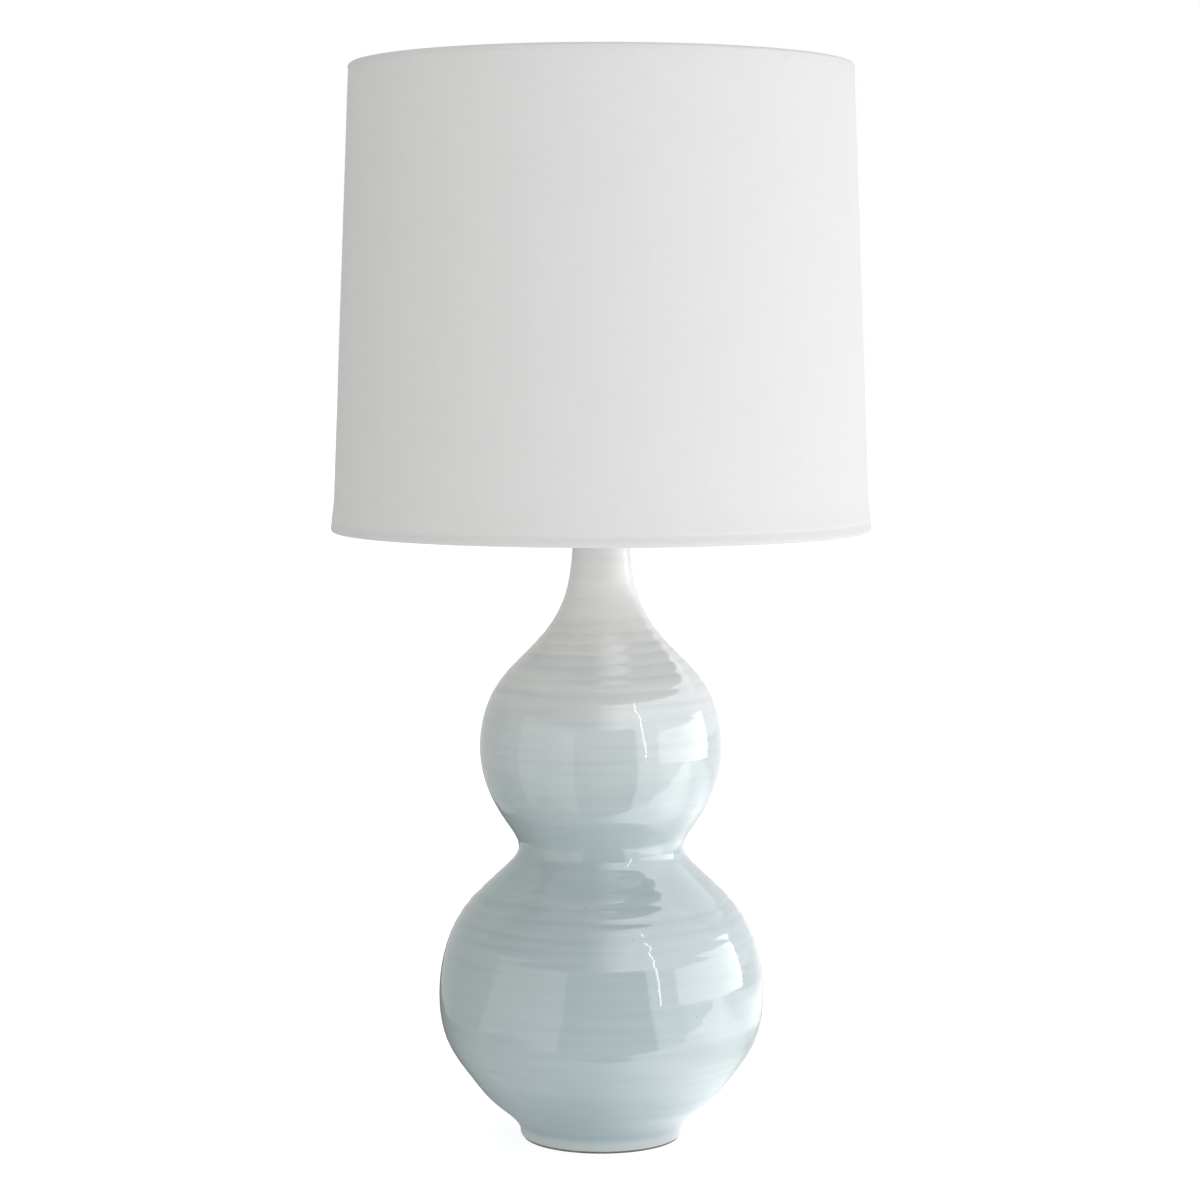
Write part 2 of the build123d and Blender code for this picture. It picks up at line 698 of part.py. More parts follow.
def make_bulb_base():
    """The metal base as a thin cup that narrows to the black glass at its foot."""
    rim, cone_top = 1.0, BULB_TIP + 5.0
    return turned_polygon(
        [
            (BASE_FUNNEL_RADIUS, FUNNEL_LOW),
            (BASE_FUNNEL_RADIUS + rim, FUNNEL_LOW),
            (BULB_BASE_RADIUS, cone_top),
            (BULB_BASE_RADIUS, BASE_TOP),
            (BASE_INNER, BASE_TOP),
            (BASE_INNER, cone_top + 0.2),
            (BASE_FUNNEL_RADIUS, FUNNEL_LOW + FUNNEL_WALL),
        ]
    )


def make_bulb_insulator():
    """The black glass that holds the tip contact in the base."""
    collar = CONTACT_RADIUS + 0.2
    return turned_polygon(
        [
            (0, CONTACT_TOP),
            (collar, CONTACT_TOP),
            (BASE_FUNNEL_RADIUS, FUNNEL_LOW),
            (BASE_FUNNEL_RADIUS, FUNNEL_LOW + FUNNEL_WALL),
            (0, FUNNEL_LOW + FUNNEL_WALL),
        ]
    )


save("bulb_glass", make_bulb_glass())
save("bulb_base", make_bulb_base())
save("bulb_insulator", make_bulb_insulator())
save("bulb_contact", upright(CONTACT_RADIUS, BULB_TIP, CONTACT_TOP))

# ---------------------------------------------------------------- shade

LEAN = math.hypot(SHADE_HEIGHT, SHADE_BOTTOM_RADIUS - SHADE_TOP_RADIUS)
UP = ((SHADE_TOP_RADIUS - SHADE_BOTTOM_RADIUS) / LEAN, SHADE_HEIGHT / LEAN)
BACKED = FABRIC_THICK + LINING_THICK
ROLL = (BACKED + 2 * RING_ROOM + FABRIC_THICK) / 2
WIRE_INSET = BACKED + RING_ROOM
PAST_RING = ROLL + HEM_STRAIGHT


def wall(along, inward):
    """A point of the shade's wall: a distance up its slope, and a distance in from its face."""
    radius = SHADE_BOTTOM_RADIUS + along * UP[0] - inward * UP[1]
    level = SHADE_BOTTOM + along * UP[1] + inward * UP[0]
    return at(radius, level)


TOP_RING_CENTRE = Vector(wall(LEAN - ROLL, WIRE_INSET))
BOTTOM_RING_CENTRE = Vector(wall(ROLL, WIRE_INSET))


def rolled(end, toward, inset):
    """The half round of one layer of linen over a ring, from the outer face to the inner one."""
    centre = end + toward * ROLL
    crest = centre - toward * (ROLL - inset)
    return ThreePointArc(wall(centre, inset), wall(crest, ROLL), wall(centre, 2 * ROLL - inset))


def make_shade_fabric():
    """Linen over the whole wall, rolled over both rings, turned in and snipped at the arms."""
    edges = [Line(wall(ROLL, 0), wall(LEAN - ROLL, 0))]
    edges.append(Line(wall(ROLL, FABRIC_THICK), wall(LEAN - ROLL, FABRIC_THICK)))
    for end, toward in ((0.0, 1), (LEAN, -1)):
        edges.append(rolled(end, toward, 0.0))
        edges.append(rolled(end, toward, FABRIC_THICK))
        edges.append(
            Polyline(
                wall(end + toward * ROLL, 2 * ROLL),
                wall(end + toward * PAST_RING, 2 * ROLL),
                wall(end + toward * HEM_SLOPE, BACKED + FABRIC_THICK),
                wall(end + toward * HEM_TURN, BACKED + FABRIC_THICK),
                wall(end + toward * HEM_TURN, BACKED),
                wall(end + toward * HEM_SLOPE, BACKED),
                wall(end + toward * PAST_RING, 2 * ROLL - FABRIC_THICK),
                wall(end + toward * ROLL, 2 * ROLL - FABRIC_THICK),
            )
        )
    fabric = turned(edges)
    ring = TOP_RING_CENTRE
    snip = rod(SPIDER_WIRE + SPIDER_SNIP, (ring.X - SPIDER_SNIP_REACH, 0, ring.Z), ring)
    for angle in SPIDER_ANGLES:
        fabric -= Rot(0, 0, angle) * snip
    return fabric


def make_shade_lining():
    """The stiff translucent sheet that the linen is laminated to."""
    corners = [
        wall(ROLL, FABRIC_THICK),
        wall(LEAN - ROLL, FABRIC_THICK),
        wall(LEAN - ROLL, BACKED),
        wall(ROLL, BACKED),
    ]
    return turned([Polyline(*corners, close=True)])


def make_ring(centre):
    """A closed ring of wire inside one edge of the shade."""
    return Pos(0, 0, centre.Z) * Torus(centre.X, RING_WIRE)


def make_spider_arms(ring):
    """Three arms welded to the hub and to the top ring, with the hub hung below the rim."""
    ring_radius, ring_level = TOP_RING_CENTRE.X, TOP_RING_CENTRE.Z
    low = FINIAL_SEAT + SPIDER_WIRE
    points = [
        at(HUB_RADIUS - SPIDER_OVERLAP, low),
        at(HUB_RADIUS + SPIDER_LEVEL_RUN, low),
        at(HUB_RADIUS + SPIDER_SLOPE_RUN, ring_level - SPIDER_SAG),
        at(ring_radius - SPIDER_SHORT, ring_level),
    ]
    arm = bent_wire(points, SPIDER_BENDS, SPIDER_WIRE) - ring
    arm = arm.solids().sort_by(SortBy.VOLUME)[-1]
    return Compound(children=[Rot(0, 0, angle) * arm for angle in SPIDER_ANGLES])


top_ring = make_ring(TOP_RING_CENTRE)
save("shade_fabric", make_shade_fabric())
save("shade_lining", make_shade_lining())
save("shade_top_ring", top_ring)
save("shade_bottom_ring", make_ring(BOTTOM_RING_CENTRE))
save("spider_hub", washer(HUB_HOLE, HUB_RADIUS, HUB_SEAT, FINIAL_SEAT))
save("spider_arms", make_spider_arms(top_ring))

# ---------------------------------------------------------------- finial


def make_finial():
    """A turned finial: a flange, a waist and a ball, bored blind for the stud."""
    top = FINIAL_SEAT + FINIAL_HEIGHT
    centre = top - FINIAL_BALL
    join = at(FINIAL_WAIST, centre - math.sqrt(FINIAL_BALL**2 - FINIAL_WAIST**2))
    stud_room = 1.5
    bore_top = HUB_SEAT + STUD_LENGTH + stud_room
    flange_thick, slope = 2.4, 2.0
    return turned(
        [
            Polyline(
                at(0, top),
                at(0, bore_top),
                at(FINIAL_BORE, bore_top),
                at(FINIAL_BORE, FINIAL_SEAT),
                at(FINIAL_FLANGE, FINIAL_SEAT),
                at(FINIAL_FLANGE, FINIAL_SEAT + flange_thick),
                at(FINIAL_WAIST, FINIAL_SEAT + flange_thick + slope),
                join,
            ),
            ThreePointArc(join, at(FINIAL_BALL, centre), at(0, top)),
        ]
    )


save("finial", make_finial())
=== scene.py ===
import math

import bmesh
import bpy
import numpy as np
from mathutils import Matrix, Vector


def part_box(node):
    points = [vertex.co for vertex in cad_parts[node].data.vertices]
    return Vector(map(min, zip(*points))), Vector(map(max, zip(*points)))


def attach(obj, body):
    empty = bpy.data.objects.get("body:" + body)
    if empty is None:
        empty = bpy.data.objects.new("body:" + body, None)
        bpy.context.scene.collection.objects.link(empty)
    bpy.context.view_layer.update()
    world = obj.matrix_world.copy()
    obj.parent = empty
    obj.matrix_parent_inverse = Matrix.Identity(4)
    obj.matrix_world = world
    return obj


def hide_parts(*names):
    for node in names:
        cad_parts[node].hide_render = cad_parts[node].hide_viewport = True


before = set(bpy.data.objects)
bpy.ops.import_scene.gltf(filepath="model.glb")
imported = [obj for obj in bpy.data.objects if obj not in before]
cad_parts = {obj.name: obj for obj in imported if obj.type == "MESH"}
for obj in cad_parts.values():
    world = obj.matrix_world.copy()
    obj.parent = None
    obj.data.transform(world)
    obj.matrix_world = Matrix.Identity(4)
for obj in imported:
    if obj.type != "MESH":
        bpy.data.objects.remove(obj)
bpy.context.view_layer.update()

# ------------------------------------------------------------------------------- camera
# The lamp is taken from the front with a long lens, from a little below the middle of the
# shade, so that its lower edge curves down and its upper edge curves up.

EYE = (-0.001, -2.392, 0.6106)
TILT_DOWN = 0.0821  # radians
SENSOR = 36.0
LENS = 94.43

camera = bpy.data.objects.new("camera", bpy.data.cameras.new("camera"))
camera.location = EYE
camera.rotation_euler = (math.pi / 2 - TILT_DOWN, 0, 0)
camera.data.sensor_fit = "HORIZONTAL"
camera.data.sensor_width = SENSOR
camera.data.lens = LENS
bpy.context.scene.collection.objects.link(camera)
bpy.context.scene.camera = camera

# ------------------------------------------------------------------------------- studio
# A pale tabletop that runs back without an edge, and soft light that is stronger on the
# right. What the glaze and the metal mirror is a plain room: a bright box and a tall thin strip
# on the right, a pale wall on the left, and a dark side behind the camera.

bpy.context.scene.view_settings.view_transform = "Standard"


def feed(tree, node, feeds):
    """Gives a node's inputs, by name or number, a value or the output that goes into them."""
    for key, value in dict(feeds).items():
        if isinstance(value, bpy.types.NodeSocket):
            tree.links.new(value, node.inputs[key])
        else:
            node.inputs[key].default_value = value


def add(tree, kind, feeds=(), **settings):
    """Adds one shader node, with its own properties as settings and with its inputs fed."""
    made = tree.nodes.new(kind)
    for key, value in settings.items():
        setattr(made, key, value)
    feed(tree, made, feeds)
    return made


def reckon(tree, operation, *values, clamp=False):
    """What one Math node makes of the values."""
    return add(tree, "ShaderNodeMath", enumerate(values), operation=operation, use_clamp=clamp).outputs[0]


def ranged(tree, value, span, onto=(0.0, 1.0), smooth=False):
    """A value carried from one span onto another and held at its ends. Between them it runs
    straight, or with a smooth start and end."""
    return add(tree, "ShaderNodeMapRange", {"Value": value, "From Min": span[0], "From Max": span[1],
                                            "To Min": onto[0], "To Max": onto[1]},
               interpolation_type="SMOOTHSTEP" if smooth else "LINEAR").outputs[0]


def mixed(tree, share, first, second):
    """The number that lies a share of the way from the first to the second."""
    return add(tree, "ShaderNodeMix", {0: share, 2: first, 3: second}).outputs[0]


def mixed_colour(tree, share, first, second, way="MIX"):
    """The colour that lies a share of the way from the first to the second, or from the first
    to both multiplied."""
    return add(tree, "ShaderNodeMix", {0: share, 6: first, 7: second}, data_type="RGBA",
               blend_type=way).outputs[2]


ROOM = [(-180, 0.7), (-124, 0.5), (-121, 0.42), (-85, 0.42), (-82, 0.95), (-26, 0.95), (-25, 0.15),
        (33, 0.15), (34, 1.9), (50, 2.1), (52, 1.9), (60, 2.6), (105, 2.7), (118, 2.3), (140, 1.6),
        (180, 0.7)]
ROOM_TOP = 5.0  # more than any strength in the list, which holds bearings and strengths


def round_the_room(tree, x, y):
    """What a mirror sees at each bearing. The bearing is the angle of (x, y) from the camera's side,
    positive to the right, and the strength runs straight between the bearings in the list."""
    bearing = reckon(tree, "ARCTAN2", x, reckon(tree, "MULTIPLY", y, -1.0))
    ramp = add(tree, "ShaderNodeValToRGB", {"Fac": ranged(tree, bearing, (-math.pi, math.pi))})
    while len(ramp.color_ramp.elements) < len(ROOM):
        ramp.color_ramp.elements.new(0.5)
    for stop, (degrees, strength) in zip(ramp.color_ramp.elements, ROOM):
        stop.position = (degrees + 180) / 360
        stop.color = (*[strength / ROOM_TOP] * 3, 1)
    return reckon(tree, "MULTIPLY", ramp.outputs["Color"], ROOM_TOP)


# Pairs of strengths run from left to right. The spans that they run over, and the heights and
# depths where one part of the room gives way to another, are parts of a direction's length.
AIR = (0.61, 0.83)  # on dull surfaces
CEILING, CEILING_SPAN = (0.15, 2.8), (-0.20, 0.34)  # in mirrors, over the front
OVER_BACK, OVER_BACK_SPAN = (0.55, 2.3), (-0.2, 0.4)  # in mirrors, over the back
WALLS_END = (0.36, 0.42)
BACK_STARTS = (0.25, 0.30)
WARM, COOL = (1.0, 0.990, 0.950, 1), (0.992, 0.996, 1.035, 1)  # the light's two sides
TINT_SPAN = (-0.7, 0.7)
WHITE = (1, 1, 1, 1)

world = bpy.data.worlds.new("studio_air")
world.use_nodes = True
world.node_tree.nodes.clear()
bpy.context.scene.world = world
air = world.node_tree
heading = add(air, "ShaderNodeSeparateXYZ", {0: add(air, "ShaderNodeTexCoord").outputs["Generated"]})
sideways, backward, upward = heading.outputs
walls = round_the_room(air, sideways, backward)
ceiling = mixed(air, ranged(air, backward, BACK_STARTS),
                ranged(air, sideways, CEILING_SPAN, CEILING, smooth=True),
                ranged(air, sideways, OVER_BACK_SPAN, OVER_BACK))
room = mixed(air, ranged(air, upward, WALLS_END), walls, ceiling)
path = add(air, "ShaderNodeLightPath").outputs
lighting = mixed(air, path["Is Glossy Ray"], ranged(air, sideways, (-1.0, 1.0), AIR), room)
seen = reckon(air, "MAXIMUM", path["Is Camera Ray"], path["Is Transmission Ray"])
tint = mixed_colour(air, ranged(air, sideways, TINT_SPAN), WARM, COOL)
glow = add(air, "ShaderNodeBackground", {"Color": mixed_colour(air, seen, tint, WHITE),
                                         "Strength": mixed(air, seen, lighting, 1.0)})
add(air, "ShaderNodeOutputWorld", {"Surface": glow.outputs[0]})

# Pairs of strengths run from left to right, and spans are in metres on the tabletop.
FLOOR_REACH = 40.0
FLOOR_SHADE = (0.62, 0.62, 0.62, 1)
FLOOR_GLOW = 0.72
UNDER, UNDER_SPAN = (0.20, 0.78), (-0.3, 0.3)  # what it adds on dull surfaces
NEAR, NEAR_SPAN = (0.50, 2.6), (-0.03, 0.14)  # in mirrors
FAR_SIDE, FAR_SIDE_SHARE = (-0.05, 0.12), 0.30  # in mirrors it is darker behind the lamp,
BEYOND, BEYOND_SHARE = (0.22, 0.36), 0.7  # and brighter again out on the right,
RECEDING, RECEDING_SHARE = (0.35, 0.70), 0.30  # but less so far back
TABLE_FRONT, TABLE_SIDE = 0.215, 0.36  # past these, mirrors see the room's walls in it

corners = np.array([(-1, -1, 0), (1, -1, 0), (1, 1, 0), (-1, 1, 0)]) * FLOOR_REACH
floor_mesh = bpy.data.meshes.new("tabletop")
floor_mesh.from_pydata(corners, [], [(0, 1, 2, 3)])
tabletop = bpy.data.objects.new("tabletop", floor_mesh)
bpy.context.scene.collection.objects.link(tabletop)

top_paint = bpy.data.materials.new("tabletop_paint")
top_paint.use_nodes = True
paint = top_paint.node_tree
paint.nodes.clear()
spot = add(paint, "ShaderNodeSeparateXYZ", {0: add(paint, "ShaderNodeTexCoord").outputs["Object"]})
right, far = spot.outputs["X"], spot.outputs["Y"]
walls = round_the_room(paint, right, far)
depth = reckon(paint, "MULTIPLY_ADD", ranged(paint, right, BEYOND, (0.0, BEYOND_SHARE)),
               ranged(paint, far, RECEDING, (1.0, RECEDING_SHARE)),
               ranged(paint, far, FAR_SIDE, (1.0, FAR_SIDE_SHARE)))
near = reckon(paint, "MULTIPLY", ranged(paint, right, NEAR_SPAN, NEAR, smooth=True), depth)
on_table = reckon(paint, "MULTIPLY", reckon(paint, "GREATER_THAN", far, -TABLE_FRONT),
                  reckon(paint, "GREATER_THAN", right, -TABLE_SIDE))
shown = mixed(paint, on_table, walls, near)
path = add(paint, "ShaderNodeLightPath").outputs
seen = reckon(paint, "MAXIMUM", path["Is Camera Ray"], path["Is Transmission Ray"])
lift = mixed(paint, seen, ranged(paint, right, UNDER_SPAN, UNDER), FLOOR_GLOW)
matt = add(paint, "ShaderNodeBsdfDiffuse", {"Color": FLOOR_SHADE}).outputs[0]
lit = add(paint, "ShaderNodeEmission", {"Strength": lift}).outputs[0]
lifted = add(paint, "ShaderNodeAddShader", {0: matt, 1: lit}).outputs[0]
in_mirror = add(paint, "ShaderNodeEmission", {"Strength": shown}).outputs[0]
both = add(paint, "ShaderNodeMixShader", {0: path["Is Glossy Ray"], 1: lifted, 2: in_mirror})
add(paint, "ShaderNodeOutputMaterial", {"Surface": both.outputs[0]})
floor_mesh.materials.append(top_paint)


def panel(name, bearing, away, low, high, width, dull, front_edge, back_edge):
    """An upright glowing sheet that faces the lamp's axis, at a bearing from the camera's side and a
    distance from the axis. It lights dull surfaces with one strength. A mirror sees it run from one
    strength at its edge nearer the camera to another at its far edge. No camera sees it."""
    turn = math.radians(bearing)
    middle = np.array([math.sin(turn), -math.cos(turn)]) * away
    half = np.array([math.cos(turn), math.sin(turn)]) * width / 2 * (1 if bearing > 0 else -1)
    ends = np.array([middle - half, middle + half])
    points = [(*ends[end], z) for end, z in ((0, low), (1, low), (1, high), (0, high))]
    sheet = bpy.data.meshes.new(name)
    sheet.from_pydata(points, [], [(0, 1, 2, 3)])
    across = sheet.uv_layers.new(name="across")
    across.data.foreach_set("uv", [0, 0, 1, 0, 1, 1, 0, 1])
    light = bpy.data.materials.new(name)
    light.use_nodes = True
    tree = light.node_tree
    tree.nodes.clear()
    place = add(tree, "ShaderNodeSeparateXYZ", {0: add(tree, "ShaderNodeUVMap", uv_map="across").outputs[0]})
    shine = ranged(tree, place.outputs["X"], (0.0, 1.0), (front_edge, back_edge))
    in_mirror = add(tree, "ShaderNodeLightPath").outputs["Is Glossy Ray"]
    lit = add(tree, "ShaderNodeEmission", {"Strength": mixed(tree, in_mirror, dull, shine)})
    add(tree, "ShaderNodeOutputMaterial", {"Surface": lit.outputs[0]})
    sheet.materials.append(light)
    stand = bpy.data.objects.new(name, sheet)
    stand.visible_camera = False
    bpy.context.scene.collection.objects.link(stand)


panel("right_box", 86, 1.7, 0.02, 0.77, 2.1, dull=1.65, front_edge=3.8, back_edge=6.0)
panel("front_strip", 41, 2.2, 0.05, 2.6, 0.035, dull=1.0, front_edge=14.0, back_edge=14.0)


def softbox(name, bearing, away, level, width, height, power, aim):
    """A rectangular lamp on a circle round the lamp's axis, turned to a level on it. Mirrors
    don't see it."""
    turn = math.radians(bearing)
    box = bpy.data.objects.new(name, bpy.data.lights.new(name, "AREA"))
    box.data.shape = "RECTANGLE"
    box.data.size = width
    box.data.size_y = height
    box.data.energy = power
    box.location = (away * math.sin(turn), -away * math.cos(turn), level)
    box.rotation_euler = (Vector((0, 0, aim)) - box.location).to_track_quat("-Z", "Y").to_euler()
    box.visible_glossy = False
    bpy.context.scene.collection.objects.link(box)


softbox("front_fill", 10, 2.6, 0.45, 2.4, 1.0, 5.8, aim=0.42)

# ------------------------------------------------------------------------------- felt pad
# A disc of grey wool felt glued under the foot, so that the lamp doesn't scratch a table.
# It keeps its shape from the frame, and shows as a thin grey line under the glaze.


def coated(name):
    """A new material with its Principled shader, and the tree that feeds it."""
    made = bpy.data.materials.new(name)
    made.use_nodes = True
    return made, made.node_tree, made.node_tree.nodes["Principled BSDF"]


def dress(finish, *names):
    """Gives the frame's own pieces their finish."""
    for name in names:
        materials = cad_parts[name].data.materials
        materials.clear()
        materials.append(finish)


def place_on(tree):
    """The place on the object, in metres, for a pattern to follow."""
    return add(tree, "ShaderNodeTexCoord").outputs["Object"]


def noise(tree, place, scale, detail=2.0, roughness=0.5):
    """A cloudy pattern, with the scale's number of clouds to the metre."""
    return add(tree, "ShaderNodeTexNoise", {"Vector": place, "Scale": scale, "Detail": detail,
                                            "Roughness": roughness}).outputs[0]


def bumped(tree, height, strength, distance):
    """The normals of a relief that stands out by the distance, in metres, where its height is one."""
    return add(tree, "ShaderNodeBump", {"Strength": strength, "Distance": distance,
                                        "Height": height}).outputs[0]


FELT_DARK = (0.11, 0.11, 0.11, 1)
FELT_PALE = (0.24, 0.24, 0.235, 1)
FELT_TONES = (0.12, 0.40)  # of the pile, from dark to pale
FIBRES, TUFTS = 2400.0, 260.0  # to the metre
FELT_RELIEF = 0.0003

felt, tree, skin = coated("wool_felt")
place = place_on(tree)
pile = reckon(tree, "MULTIPLY", noise(tree, place, FIBRES, detail=4.0, roughness=0.7),
              noise(tree, place, TUFTS))
feed(tree, skin, {"Base Color": mixed_colour(tree, ranged(tree, pile, FELT_TONES), FELT_DARK, FELT_PALE),
                  "Normal": bumped(tree, pile, 0.8, FELT_RELIEF), "Roughness": 0.95,
                  "Sheen Weight": 0.4})
dress(felt, "foot_pad")

# ------------------------------------------------------------------------------- glazed gourd
# Stoneware thrown on a wheel in one piece: a foot ring, a wide lower bulb, a smaller upper
# one and a tall neck. The potter's fingers left a long spiral of rings, and the glaze runs
# from white on the neck to pale blue-green, lying deeper in the grooves than on the ridges.

FOOT_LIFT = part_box("gourd_body")[0].z
NECK_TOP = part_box("gourd_body")[1].z
MM = 0.001
GOURD_OUTLINE = [
    (63.2, 7.0), (84.5, 28.0), (101.0, 47.5), (118.0, 73.5), (124.6, 108.0), (107.5, 172.0),
    (73.0, 208.0), (63.4, 221.5), (73.5, 244.0), (92.9, 300.0), (80.8, 346.0), (44.0, 387.5),
    (29.0, 413.0), (22.3, 450.0), (21.4, 472.0),
]  # radius and height above the foot's lower edge, in millimetres
FOOT_EDGE = (60.6, 0.0)
FOOT_ROUND = (62.2, 1.6)
FOOT_STRAIGHT_TOP = (62.7, 6.0)
WALL = 6.0
SEARCH_POINTS = 4000  # on the outline, where the wall's inner face is set off from it
RECESS_RADIUS = 50.0
FLOOR_UNDER, FLOOR_OVER = 26.0, 34.0
PIPE_HOLE = 5.6
CAVITY_FLOOR = 82.0  # radius
GOURD_ROWS = 330
GOURD_COLUMNS = 208
INNER_ROWS = 46
RING_FADE = 12.0  # the rings begin over this height above the foot, and end so below the rim
PLAIN_RIM = 8.0


def smooth_line(points, leaving, arriving, count):
    """A curve through the points with no jump in slope or bend: between two points it is a cubic
    in the distance walked, and the slopes at the points solve one row each of a band matrix.
    Leaving and arriving are the directions at its two ends."""
    points = np.array(points, float)
    step = np.hypot(*np.diff(points, axis=0).T)
    rate = np.diff(points, axis=0) / step[:, None]
    size = len(points)
    band = np.eye(size)
    known = np.zeros((size, 2))
    known[0] = np.array(leaving) / np.hypot(*leaving)
    known[-1] = np.array(arriving) / np.hypot(*arriving)
    inner = np.arange(1, size - 1)
    band[inner, inner - 1] = step[1:]
    band[inner, inner] = 2 * (step[1:] + step[:-1])
    band[inner, inner + 1] = step[:-1]
    known[1:-1] = 3 * (step[1:, None] * rate[:-1] + step[:-1, None] * rate[1:])
    slope = np.linalg.solve(band, known)
    walked = np.r_[0, np.cumsum(step)]
    at = np.linspace(0, walked[-1], count)
    span = np.clip(np.searchsorted(walked, at, "right") - 1, 0, size - 2)
    long = step[span][:, None]
    part = ((at - walked[span])[:, None]) / long
    return (points[span] * (1 + 2 * part) * (1 - part) ** 2 + points[span + 1] * part**2 * (3 - 2 * part)
            + slope[span] * long * part * (1 - part) ** 2 - slope[span + 1] * long * part**2 * (1 - part))


def outward(line):
    """The unit normals of a line of (radius, height) points, to the right of the way it runs."""
    run = np.gradient(line, axis=0)
    run /= np.hypot(run[:, 0], run[:, 1])[:, None]
    return np.stack([run[:, 1], -run[:, 0]], axis=1)


def full_turn(columns):
    """The angles of that many even steps, once round."""
    return np.linspace(0, 2 * np.pi, columns, endpoint=False)


def throwing_rings(height, angle):
    """How far the surface stands out, in millimetres. A finger rising by one ring for each turn
    of the wheel leaves a wave whose phase is the height over the pitch less the angle. Its pitch
    and depth drift slowly up the wall, it is deepest on the two shoulders, and it has a second,
    smaller wave that makes grooves narrower than ridges."""
    drift = 1.9 * np.sin(height / 31.0) + 1.2 * np.sin(height / 12.7 + 1.3)
    phase = 2 * np.pi * height / 9.2 + drift - angle
    depth = (0.030 + 0.075 * np.exp(-(((height - 372) / 36) ** 2))
             + 0.095 * np.exp(-(((height - 182) / 32) ** 2)) + 0.03 * np.exp(-(((height - 60) / 30) ** 2)))
    depth = depth * (1 + 0.45 * np.sin(height / 9.1 + 0.6) * np.sin(height / 23.0))
    uneven = 1 + 0.3 * np.sin(angle + height / 40) + 0.15 * np.sin(3 * angle - height / 17)
    slower = np.sin(2 * np.pi * height / 20.5 - 0.6 * drift + angle)
    wave = np.sin(phase) + 0.22 * np.sin(2 * phase + 0.9) + 0.6 * slower
    return depth * uneven * wave


def turned_about(line, angles):
    """The points of a line carried round the lamp's axis: an array of rows by columns by three,
    where line holds radius and height in metres, once for all angles or once for each."""
    radius, height = (line[..., k] if line.ndim == 3 else line[:, None, k] for k in (0, 1))
    return np.stack(np.broadcast_arrays(radius * np.cos(angles), radius * np.sin(angles), height), axis=-1)


def piece_from_grid(name, points, finish, closed_rows=False, closed_columns=True, spread=None):
    """A mesh piece from a grid of points, with a quad between each point and its next in both
    directions. Rows or columns that close are joined to their start. Spread is each point's
    place on the flat cloth, in metres."""
    rows, columns = points.shape[:2]
    down = np.arange(rows if closed_rows else rows - 1)[:, None]
    along = np.arange(columns if closed_columns else columns - 1)[None, :]
    next_down, next_along = (down + 1) % rows, (along + 1) % columns
    corners = [down * columns + along, down * columns + next_along,
               next_down * columns + next_along, next_down * columns + along]
    quads = np.stack(corners, axis=-1).reshape(-1, 4)
    made = bpy.data.meshes.new(name)
    made.from_pydata(points.reshape(-1, 3), [], quads)
    if spread is not None:
        step_down = np.stack([down, down, down + 1, down + 1], axis=-1)
        step_along = np.stack([along, along + 1, along + 1, along], axis=-1)
        step_down, step_along = np.broadcast_arrays(step_down, step_along)
        layer = made.uv_layers.new(name="cloth")
        layer.data.foreach_set("uv", spread[step_down, step_along].reshape(-1).astype(np.float32))
    made.shade_smooth()
    made.materials.append(finish)
    piece = bpy.data.objects.new(name, made)
    bpy.context.scene.collection.objects.link(piece)
    return piece


outer = smooth_line(GOURD_OUTLINE, (0.5, 1), (0, 1), GOURD_ROWS)
angles = full_turn(GOURD_COLUMNS)
above_foot = np.clip((outer[:, 1] - GOURD_OUTLINE[0][1]) / RING_FADE, 0, 1)
below_rim = np.clip((NECK_TOP / MM - PLAIN_RIM - outer[:, 1]) / RING_FADE, 0, 1)
rings = throwing_rings(outer[:, 1][:, None], angles[None, :]) * (above_foot * below_rim)[:, None]
side = outer[:, None, :] + rings[..., None] * outward(outer)[:, None, :]

marks = np.array(GOURD_OUTLINE[2:])
closer = smooth_line(GOURD_OUTLINE, (0.5, 1), (0, 1), SEARCH_POINTS)
beside = np.argmin(((closer[None] - marks[:, None]) ** 2).sum(-1), axis=1)
inner_marks = marks - WALL * outward(closer)[beside]
inner_marks[-1, 1] = GOURD_OUTLINE[-1][1]
inside = smooth_line([(CAVITY_FLOOR, FLOOR_OVER), *inner_marks], (1, 1), (0, 1), INNER_ROWS)[::-1]
below = [FOOT_EDGE, (61.6, 0.5), FOOT_ROUND, FOOT_STRAIGHT_TOP]
under = [(30.0, FLOOR_OVER), (PIPE_HOLE, FLOOR_OVER), (PIPE_HOLE, FLOOR_UNDER), (30.0, FLOOR_UNDER),
         (RECESS_RADIUS, FLOOR_UNDER), (RECESS_RADIUS, 0.0)]
whole = np.concatenate([
    np.repeat(np.array(below, float)[:, None, :], GOURD_COLUMNS, axis=1), side,
    np.repeat(np.concatenate([inside, np.array(under)])[:, None, :], GOURD_COLUMNS, axis=1)])
whole = whole * MM + np.array([0, FOOT_LIFT])
depth_of_glaze = np.zeros(whole.shape[:2])
depth_of_glaze[len(below):len(below) + GOURD_ROWS] = -rings

